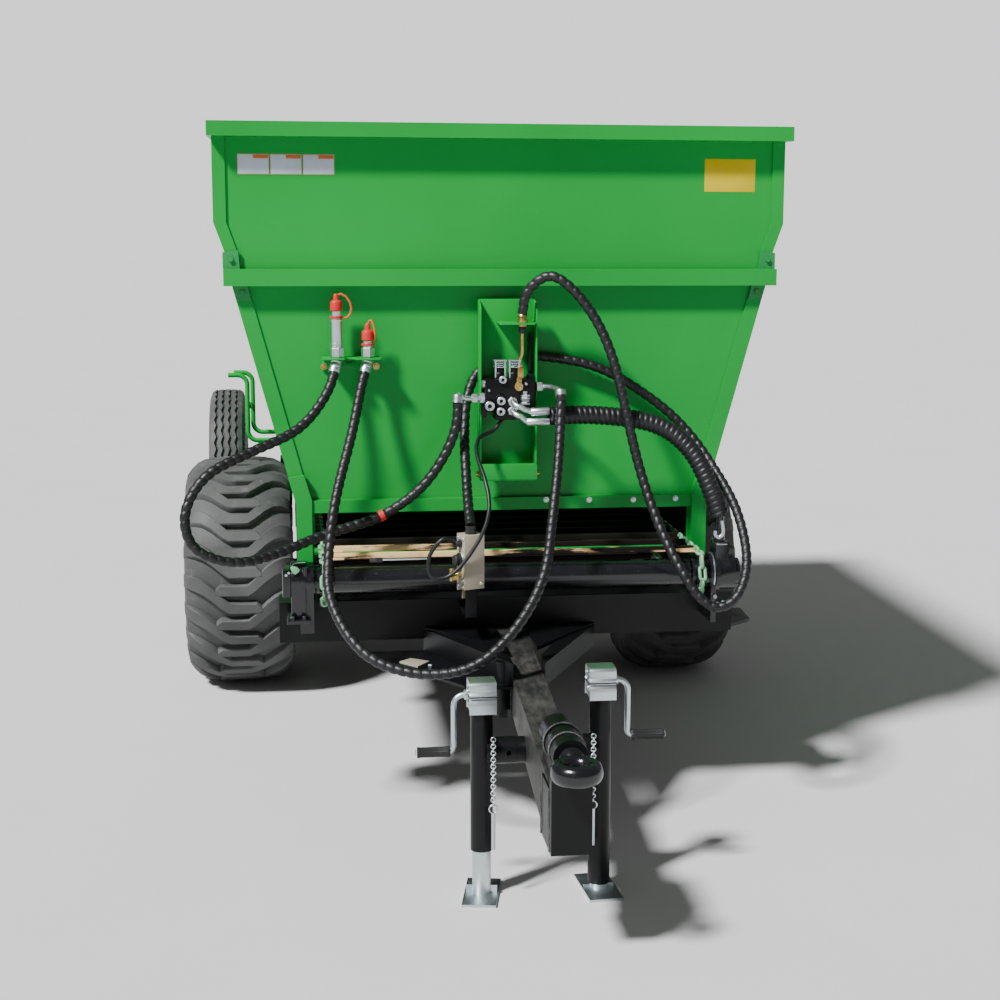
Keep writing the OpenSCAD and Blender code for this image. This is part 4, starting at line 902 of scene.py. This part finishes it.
def unions(shape):
    shape.hexagon((-74, -129, 1271), LEFT, 16.5, 15)
    shape.rod((-88, -129, 1271), (-99, -129, 1271), 9.5)
    shape.hexagon((-96, -129, 1271), LEFT, 14.5, 17)
    shape.rod((-112, -131, 1271), (-134, -138, 1272), PIPE_R)
    shape.turned((-156, -150, 1284), (-0.1, -0.35, -1),
                 [(0, 12), (3, 16.5), (11, 16.8), (13, 16.5), (26, 16.3)], 24)
    shape.tube([(-132, -138, 1272), (-146, -143, 1277), (-155, -148, 1284)], PIPE_R, 14)
    shape.hexagon((83, -129, 1304), RIGHT, 14.5, 17)
    shape.rod((98, -129, 1304), (106, -133, 1304), PIPE_R)
    shape.tube([(104, -132, 1304), (120, -150, 1305), (132, -180, 1304), (140, -210, 1300),
                (142, -224, 1292)], PIPE_R, 14)
    shape.turned((141, -214, 1302), (0.05, -0.45, -1),
                 [(0, 12), (2, 16.2), (10, 16.6), (12, 16.2), (24, 16)], 24)


def bent_pipes(shape, guard=118):
    """Two bent pipes run from the lower ports into the guard of the motor hoses."""
    for z, y, low, end in ((1262, -150, 1236, 62), (1234, -148, 1205, 50)):
        line = [(8, y, z), (8, y - 18, z)]
        line += arc((28, y - 18, z - 3), (8, y - 18, z), (28, y - 38, z - 12), 6)
        line += [(40, y - 42, low + 6), (end, y - 43, low)]
        shape.tube(line, PIPE_R, 16)
        shape.hexagon((8, y + 10, z), OUT, 15, 14)
        reach = guard - end
        shape.turned((end - 6, y - 43, low), (1, 0, 0.03),
                     [(0, 9.5), (3, 11.8), (reach - 4, 12.5), (reach, 11)])


def spool_rod(y=-118):
    shape = Shape()
    shape.tube([(40, y, 1470), (40, y, 1408), (39, y, 1398), (34, y, 1388), (33, y, 1376), (34, y, 1345)],
               5.2, 16)
    shape.block((25, y - 11, 1325), (44, y + 9, 1362), 3)
    shape.rod((34, y, 1362), (34, y, 1372), 8.5)
    shape.turned((26, y - 28, 1307), OUT, [(0, 13.5), (10, 13.5), (12, 12), (12, 7), (9, 6)])
    shape.block((20, y - 30, 1308), (36, y - 8, 1332), 3)
    shape.done("spool_rod", "brass", "valve_rod", body="valve_rod")
    gland = Shape().turned((40, y, 1494), UP, [(0, 14), (2, 16), (7, 16), (9, 13), (16, 12), (18, 15),
                                               (22, 14.8), (26, 11.5)])
    gland.turned((40, y, 1489), DOWN, [(0, 13), (6, 13), (8, 10)], 6)
    gland.done("cable_gland", "brass")
    Shape().turned((40, y, 1483), DOWN, [(0, 9.5), (4, 11), (16, 10.5), (21, 6.5)], 24).done(
        "rod_boot", "grip_plastic")


valve_body()
silver = Shape()
for add in (plugs_and_springs, unions, bent_pipes):
    add(silver)
silver.done("valve_unions", "zinc", "valve_fittings")
spool_rod()

# %% [markdown]
# Each quick coupler is turned from steel bar: nut, ferrule, long body, groove and lip. Its dust cap is
# soft red rubber, and a strap moulded with it loops back to a ring below the lip.

# %% Couplers, caps and straps
COUPLER_Y = -60


def coupler(kind, x, hose, rows):
    shape = Shape().hexagon((x, COUPLER_Y, 1391), UP, 20.5, 29)
    shape.turned((x, COUPLER_Y, 1391), DOWN, [(0, 13.5), (12, 13)], 24)
    shape.turned((x, COUPLER_Y, 1419), UP, rows, 36)
    start, after = (Vector(point) for point in hose[:2])
    down = (after - start).normalized()
    ferrule = [(0, 13.5), (2, 16.5)]
    for d in (4, 18, 32):
        ferrule += [(d, 17.2), (d + 8, 17.2), (d + 10, 15.6), (d + 13, 15.6)]
    shape.turned(start - down * 4, down, ferrule)
    shape.done(kind + "_coupler", "zinc", "coupler_" + kind)


def dust_cap(kind, x, z, ring_z, strap):
    body = "cap_" + kind
    cap = Shape().turned((x, COUPLER_Y, z), UP, [(0, 16.5), (1, 18.2), (24, 18.2), (28, 16.5), (30.5, 12),
                                                 (33, 8.8), (46, 7.8), (50, 5.5)], 32, flute=(12, 0.03))
    cap.done(kind + "_cap", "cap_red", body, body=body)
    Shape().tube(strap, 3.2).done(kind + "_cap_strap", "strap_orange", body=body)
    return Shape().turned((x, COUPLER_Y, ring_z), UP, [(0, 16.8), (1, 19.2), (6.5, 19.2), (7.5, 16.8)], 32)


coupler("supply", -508, SUPPLY, [
    (0, 16.5), (4, 16.5), (4.5, 15.5), (8, 15.5), (9, 17), (14, 17.2), (14.5, 16), (75, 16.5), (77, 18),
    (84, 18), (86, 15.8), (93.5, 15.8), (94.5, 14.5), (108, 14.5)])
coupler("return", -416, RETURN, [(0, 16), (3, 16), (4, 15), (8, 15), (10, 14.3), (20, 14)])
supply_ring = dust_cap("supply", -508, 1528.5, 1506, [
    (-505, -60, 1574), (-494, -62, 1578), (-480, -62, 1571), (-468, -62, 1555), (-463, -62, 1537),
    (-466, -62, 1520), (-476, -62, 1508), (-488, -62, 1507)])
return_ring = dust_cap("return", -416, 1440.5, 1424.5, [
    (-415, -60, 1486), (-411, -62, 1499), (-404, -63, 1500), (-398, -64, 1484), (-395, -64, 1462),
    (-396, -63, 1444), (-401, -62, 1432)])
supply_ring.done("supply_ring", "cap_red")
return_ring.done("return_ring", "cap_red")


def coupler_shelf():
    notch = ((-552, -92), (-486, -92), (-486, -80), (-482, -72), (-475, -67), (-469, -66), (-463, -67),
             (-456, -72), (-452, -80), (-452, -92), (-378, -92), (-378, 0), (-552, 0))
    front = ((-552, 1352), (-378, 1352), (-378, 1390), (-452, 1390), (-452, 1378), (-457, 1372),
             (-469, 1368), (-481, 1372), (-486, 1378), (-486, 1390), (-552, 1390))
    shape = Shape().slab(at_z(1384, notch), (0, 0, 6), 1.2)
    shape.slab(at_y(-2, front), (0, -5, 0))
    shape.done("coupler_shelf", "body_green", "coupler_holder")
    bolts = Shape()
    for x in (-546, -389):
        bolts.washer((x, -7, 1358), OUT, 10, 7, 1.5, 28).hexagon((x, -8, 1358), OUT, 7.5, 6)
    bolts.done("shelf_bolts", "brass")


coupler_shelf()

# %% [markdown]
# Each jack's gear cover is a strip of zinc-plated sheet folded over the tube: flat on top, with a bead
# half way down each side. The crank is one bent bar, so its line gets round corners before it is swept.

# %% Jack heads, cranks and grips
JACKS = (("left", -1, 512), ("right", 1, 540))  # each jack's side, and the height of its tube's top
JACK_X, JACK_Y = 160, -820
CRANK_UP = 47  # how high the crank's axis lies above the top of its tube


def jack_cover(end, side, top):
    x0 = JACK_X * side - 36
    rise = [(-37.5, 1), (-37.5, 24), (-36.5, 32), (-32.5, 40), (-31, 43), (-33.5, 46), (-36.5, 49),
            (-36.5, 52), (-33.5, 55), (-31.2, 58), (-31.5, 62), (-33.5, 66), (-33.5, 78), (-31, 82.5),
            (-26, 84.5)]
    fold = rise + [(26, 84.5)] + [(-y, z) for y, z in reversed(rise[:-1])]
    cheek = ((-33, 2), (33, 2), (29, 60), (29, 79), (-29, 79), (-29, 60))
    shape = Shape().sheet([(x0, y + JACK_Y, z + top) for y, z in fold], 2.8, (72, 0, 0), 0.5)
    for x in (x0 + 4, x0 + 64):
        shape.slab([(x, y + JACK_Y, z + top) for y, z in cheek], (3, 0, 0), 0.5)
    shape.done("jack_cover_" + end, "zinc", "jack_head_" + end, body="jack_" + end)
    bolts = Shape()
    for x, along in ((x0 + 4, -1), (x0 + 68, 1)):
        for y, z in ((-17, 24), (16, 22), (-14, 66)):
            bolts.turned((x, y + JACK_Y, z + top), (along, 0, 0), [(0, 7), (3, 6.8), (5, 4)], 20)
        bolts.turned((x, JACK_Y, top + CRANK_UP), (along, 0, 0),
                     [(0, 14), (2, 14), (3, 12.5), (3, 8.8), (0.2, 8.8)])
    bolts.done("head_bolts_" + end, "zinc", body="jack_" + end)
    # Black strips along the fold's groove and at the cover's two ends make the seam between its shells dark:
    # painted shade.
    gap_shade = Shape().block((x0 - 0.3, -861, 46.5 + top), (x0 + 72.3, -852, 49.5 + top), 0.4)
    gap_shade.block((x0 - 0.4, -851, 41.5 + top), (x0 + 3, -789, 44.5 + top), 0.4)
    gap_shade.block((x0 + 69, -851, 41.5 + top), (x0 + 72.4, -789, 44.5 + top), 0.4)
    gap_shade.done("head_seam_" + end, "grip_plastic", body="jack_" + end)


def bent_crank(end, side, top):
    def p(x, drop):
        return side * (JACK_X + x), JACK_Y, top + CRANK_UP - drop

    line = [p(-34, 0), p(20, 0), p(46, 0)] + arc(p(46, 28), p(46, 0), p(74, 28))
    line += [p(74, 80)] + arc(p(92, 137), p(74, 137), p(92, 155)) + [p(170, 155)]
    shape = Shape().tube(line[:12], 7.8, 20).tube(line[11:], 7.8, 20)
    shape.turned(p(40, 0), (side, 0, 0), [(0, 13.5), (5, 13.5), (6.5, 12)])
    shape.turned(p(176, 155), (side, 0, 0), [(0, 8), (1, 8.8), (2, 8)], 24)
    shape.done("crank_bar_" + end, "zinc", "jack_crank_" + end, body="crank_" + end)
    Shape().turned(p(84, 155), (side, 0, 0), [(0, 13.5), (2, 15), (10, 14.8), (13, 13.8), (80, 13.8),
                                              (83, 15), (88, 14.6)], 96, flute=(12, 0.09)).done(
        "grip_" + end + "_sleeve", "grip_plastic", "crank_grip_" + end, body="grip_" + end)


for jack in JACKS:
    jack_cover(*jack)
for jack in JACKS:
    bent_crank(*jack)

# %% [markdown]
# The control box is powder-coated sheet with pan-head screws. A cable enters through a round gland on
# its left side, beside a small brass tee for air. The box stands turned, so each piece is made square
# and swung about the box's upright axis.

# %% The control box
BOX_LEFT, BOX_X, BOX_Y, BOX_TURN = -172, -140, -361, 20  # its left side, its middle, and its turn in degrees
KNOB_Z, TEE_Z = 832, 790


def box_piece(shape, *names, body="chassis"):
    bmesh.ops.rotate(shape.mesh, cent=shape.put([(BOX_X, BOX_Y, 0)])[0], verts=shape.mesh.verts,
                     matrix=Matrix.Rotation(math.radians(BOX_TURN), 3, "Z"))
    shape.done(*names, body=body)


def control_cabinet():
    lid = ((BOX_LEFT, 738), (-108, 738), (-108, 906), (BOX_LEFT, 906))
    shape = Shape().block((BOX_LEFT, -386, 746), (-108, -337.5, 905), 2.2)
    shape.slab(at_y(-338, lid), (0, 3, 0)).block((-158, -342, 712), (-116, -338, 748))
    box_piece(shape, "control_cabinet", "box_beige", "control_box")
    bracket = Shape().block((-156, -366, 652), (-124, -148, 659), 1)
    bracket.block((-156, -366, 652), (-124, -359, 747), 1).done("cabinet_bracket", "frame_black")
    screws = Shape()
    for y, z in ((-379, 757), (-346, 756), (-379, 776), (-379, 895), (-346, 895)):
        screws.turned((BOX_LEFT, y, z), LEFT, [(0, 6.2), (2, 6.2), (4.5, 3.5)], 20)
    screws.turned((-119, -386, 762), OUT, [(0, 5.8), (2, 5.8), (4.5, 3)], 20)
    screws.turned((BOX_LEFT, BOX_Y, KNOB_Z), LEFT,
                  [(0, 23.5), (3, 23.5), (4, 22.5), (4, 17.5), (0.2, 17.5)], 40)
    box_piece(screws, "cabinet_screws", "zinc")


def box_fittings():
    black = Shape()
    for k in range(3):
        black.turned((BOX_LEFT - 3.2 * k, BOX_Y, KNOB_Z), LEFT,
                     [(0, 20.5 - k), (3, 20.5 - k), (3.5, 19 - k)], 36)
    black.turned((BOX_LEFT, BOX_Y, 880), LEFT, [(0, 11.5), (5, 11.5), (6, 9.5), (14, 9), (18, 6.5)], 24)
    black.turned((BOX_X, BOX_Y, 905), UP, [(0, 16.5), (10, 16.5), (12, 14), (21, 16.5), (23, 15.5)], 6)
    box_piece(black, "cabinet_glands", "grip_plastic")
    knob = Shape().turned((-182.5, BOX_Y, KNOB_Z), LEFT,
                          [(0, 14.5), (2, 15.8), (9, 15.5), (12.5, 12), (13.5, 6)], 36, flute=(18, 0.04))
    box_piece(knob, "knob_cap", "grip_plastic", "box_knob", body="box_knob")
    tee = Shape().rod((BOX_LEFT, BOX_Y, TEE_Z), (-206, BOX_Y, TEE_Z), 8.5)
    tee.hexagon((-180, BOX_Y, TEE_Z), LEFT, 12.5, 11)
    tee.turned((-200, BOX_Y, 808), DOWN, [(0, 6), (2, 8), (14, 8), (14, 10), (22, 10), (22, 7.5),
                                          (34, 7.5), (36, 6)], 20)
    tee.rod((-200, BOX_Y, TEE_Z), (-200, -392, 786), 7.5)
    tee.hexagon((-200, -378, 788), (0, -1, -0.1), 10.5, 8)
    box_piece(tee, "air_tee", "brass")


control_cabinet()
box_fittings()

# %% [markdown]
# The roller's left bearing is an iron casting on a bolted foot, and the drive on the right has its own
# bolts and a hook. Weld beads are one small drop that a tree sets along each seam.

# %% Castings, bolts and welds
def left_bearing():
    front, middle, rise, foot, reach = -296, -240, 756, 652, 56
    arch = [(front, foot)] + [(middle - reach * math.cos(a), rise + reach * math.sin(a))
                              for a in (math.pi * k / 24 for k in range(25))] + [(middle + reach, foot)]
    shape = Shape().slab(at_x(-655, arch), (43, 0, 0), 3)
    shape.block((-680, -285, 712), (-652, -200, 794), 6).block((-668, -316, 640), (-600, -170, 653), 2)
    shape.turned((-612, middle, 752), RIGHT, [(0, 52), (2, 54), (12, 54), (14, 40), (26, 38)], 40)
    shape.done("bearing_casting", "eye_steel")
    nuts = Shape()
    for x in (-650, -618):
        nuts.washer((x, -306, foot), UP, 11, 8, 2).hexagon((x, -306, foot + 1), UP, 8.5, 10)
    nuts.done("bearing_nuts", "eye_steel")
    bolts = Shape().hexagon((-669, -285, 780), OUT, 4.5, 4).hexagon((-661, -285, 787), OUT, 4.5, 4)
    bolts.tube([(-653, -291, 806), (-647, -285, 813), (-634, -280, 815.5), (-613, -279, 815.5)], 1.6, 10)
    bolts.done("bearing_bolts", "zinc")
    blob = ((-657, 805), (-650, 809), (-637, 806), (-629, 798), (-632, 791), (-642, 783), (-651, 789))
    Shape().slab(at_y(-295.5, blob), (0, -3.5, 0), 1.4).done("paint_blob", "chain_green")


def drive_bolts():
    hook = ((618, 916), (620, 905), (622, 892), (622, 880), (618, 870), (610, 865), (602, 868), (598, 876),
            (598, 886))
    shape = Shape()
    for x, z in ((600, 686), (606, 664), (626, 668)):
        shape.hexagon((x, -298, z), (0, -1, 0.4), 6.5, 6)
    shape.rod((607, -278, 842), (639, -278, 842), 2.8)
    shape.turned((597, -240, 752), RIGHT, [(0, 50), (1, 58.5), (4, 58.5), (5, 50)], 48)
    shape.tube(at_y(-292, hook), 5.5, 14).done("drive_bolts", "zinc")


def panel_bolts():
    shape = Shape()
    for x, z in ((129, 944), (264, 941), (403, 939), (537, 941)):
        shape.washer((x, -24, z), OUT, 8.5, 6, 1.5).hexagon((x, -25, z), OUT, 6.5, 5)
    for x in (-810, 810):
        shape.hexagon((x, -6.5, 1690), OUT, 8.5, 7)
    shape.done("panel_bolts", "zinc")
    Shape().block((-394, -331, 826), (-262, -325, 831), 0.8).done("strip_bar", "zinc")
    Shape().block((-430, -333, 821), (-392, -322, 834), 2).done("strip_bar_end", "grip_plastic")
    hose = smooth_route([Vector(point) for point in SUPPLY])
    Shape().tube([p for p in hose if -404 < p.x < -372 and p.z > 880], 16.8, 20).done("hose_tie", "cap_red")


def pale_sheet_for_sunlight():
    """A pale sheet on the gusset beside the drawbar, with a bolt by it. The sheet is painted light: it
    stands for sunlit ground seen there.
    """
    corners = ((-344, -297), (-308, -262), (-256, -302), (-295, -358))
    Shape().slab(at_z(510.6, corners), (0, 0, 6)).done("gusset_offcut", "box_beige")
    Shape().hexagon((-258, -352, 510.6), UP, 8, 9).done("gusset_bolt", "zinc")


def weld_beads(step=0.0042):
    drop = Shape((0, 0, 0)).turned((0, 0, -3.5), UP, [(0, 1), (1.5, 3), (3.5, 3.6), (5.5, 3), (7, 1)], 10)
    seams = [([(50 * side, y, z) for z in (300, 340, 380, 420, 450)], False)
             for side in (-1, 1) for y in (-1300, -1170)]
    seams += [([(r * math.cos(a), y, 535 + r * math.sin(a)) for a in circle(48)], True)
              for y, r in ((-1252, 45), (-1184, 48))]
    seams = [(metres(line), closed) for line, closed in seams]
    run_of("weld_beads", "weld_grey", drop.loose("bead"),
           [(line, closed, int(line_length(line) / step)) for line, closed in seams], angle=180)


def hitch_ring(around=72, section=28):
    """The tow eye: an egg-shaped section swept round the bore, with a neck that runs into the housing."""
    middle, rings = Vector((0, -1394, 527)), []
    for a in circle(around):
        rings.append([])
        for b in circle(section):
            reach = 44 + 19 * math.cos(b)
            rings[-1].append(middle + Vector((reach * math.cos(a), reach * math.sin(a), 26.2 * math.sin(b))))
    shape = Shape().skin(rings, closed=True)
    shape.turned((0, -1346, 528), (0, 1, 0.16), [(0, 14), (2, 19), (8, 23.5), (16, 27.5), (24, 31),
                                                 (30, 32.5), (34, 31)], 40)
    shape.rod((0, -1318, 535), (0, -1132, 535), 26.8)
    shape.done("hitch_ring", "eye_steel", "tow_eye", body="tow_eye")


left_bearing()
hitch_ring()
drive_bolts()
panel_bolts()
pale_sheet_for_sunlight()
weld_beads()

# %% [markdown]
# The floor is plain and pale, one large lamp far off gives soft shadows, and a bright surround fills
# them, as in a studio. The lamp stands to the front left, where the light on the hopper comes from.

# %% Floor and lights
def lay_floor(far=60):
    mesh = bpy.data.meshes.new("floor")
    mesh.from_pydata([(-far, -far, 0), (far, -far, 0), (far, far, 0), (-far, far, 0)], [], [(0, 1, 2, 3)])
    floor = object_of("floor", mesh)
    mesh.materials.append(paint("floor_pale", (0.62, 0.62, 0.62), (0.61, 0.61, 0.61), 0.9, dirt=0.0,
                                grain_depth=0.0, gleam=0.0))


def hang_lamp(name, towards, power, width):
    """A lamp so far off that its light is even over the whole floor."""
    data = bpy.data.lights.new(name, "SUN")
    data.energy, data.angle = power, math.radians(width)
    lamp = object_of(name, data)
    lamp.matrix_world = Vector(towards).to_track_quat("-Z", "Y").to_matrix().to_4x4()


def light_surround(strength, seen):
    """A plain white surround that lights the machine less than it shows behind it."""
    world = bpy.data.worlds.new("surround")
    world.use_nodes = True
    graph = Graph(world.node_tree)
    straight = graph.add("ShaderNodeLightPath", out="Is Camera Ray")
    shade = world.node_tree.nodes["Background"].inputs
    graph.feed(shade["Color"], (1, 1, 1))
    graph.feed(shade["Strength"], straight * (seen - strength) + strength)
    scene.world = world


lay_floor()
hang_lamp("main_lamp", (0.52, 0.41, -0.75), 7.6, 7)
light_surround(0.2, 1.25)
print("floor and", len(bpy.data.lights), "lamps")
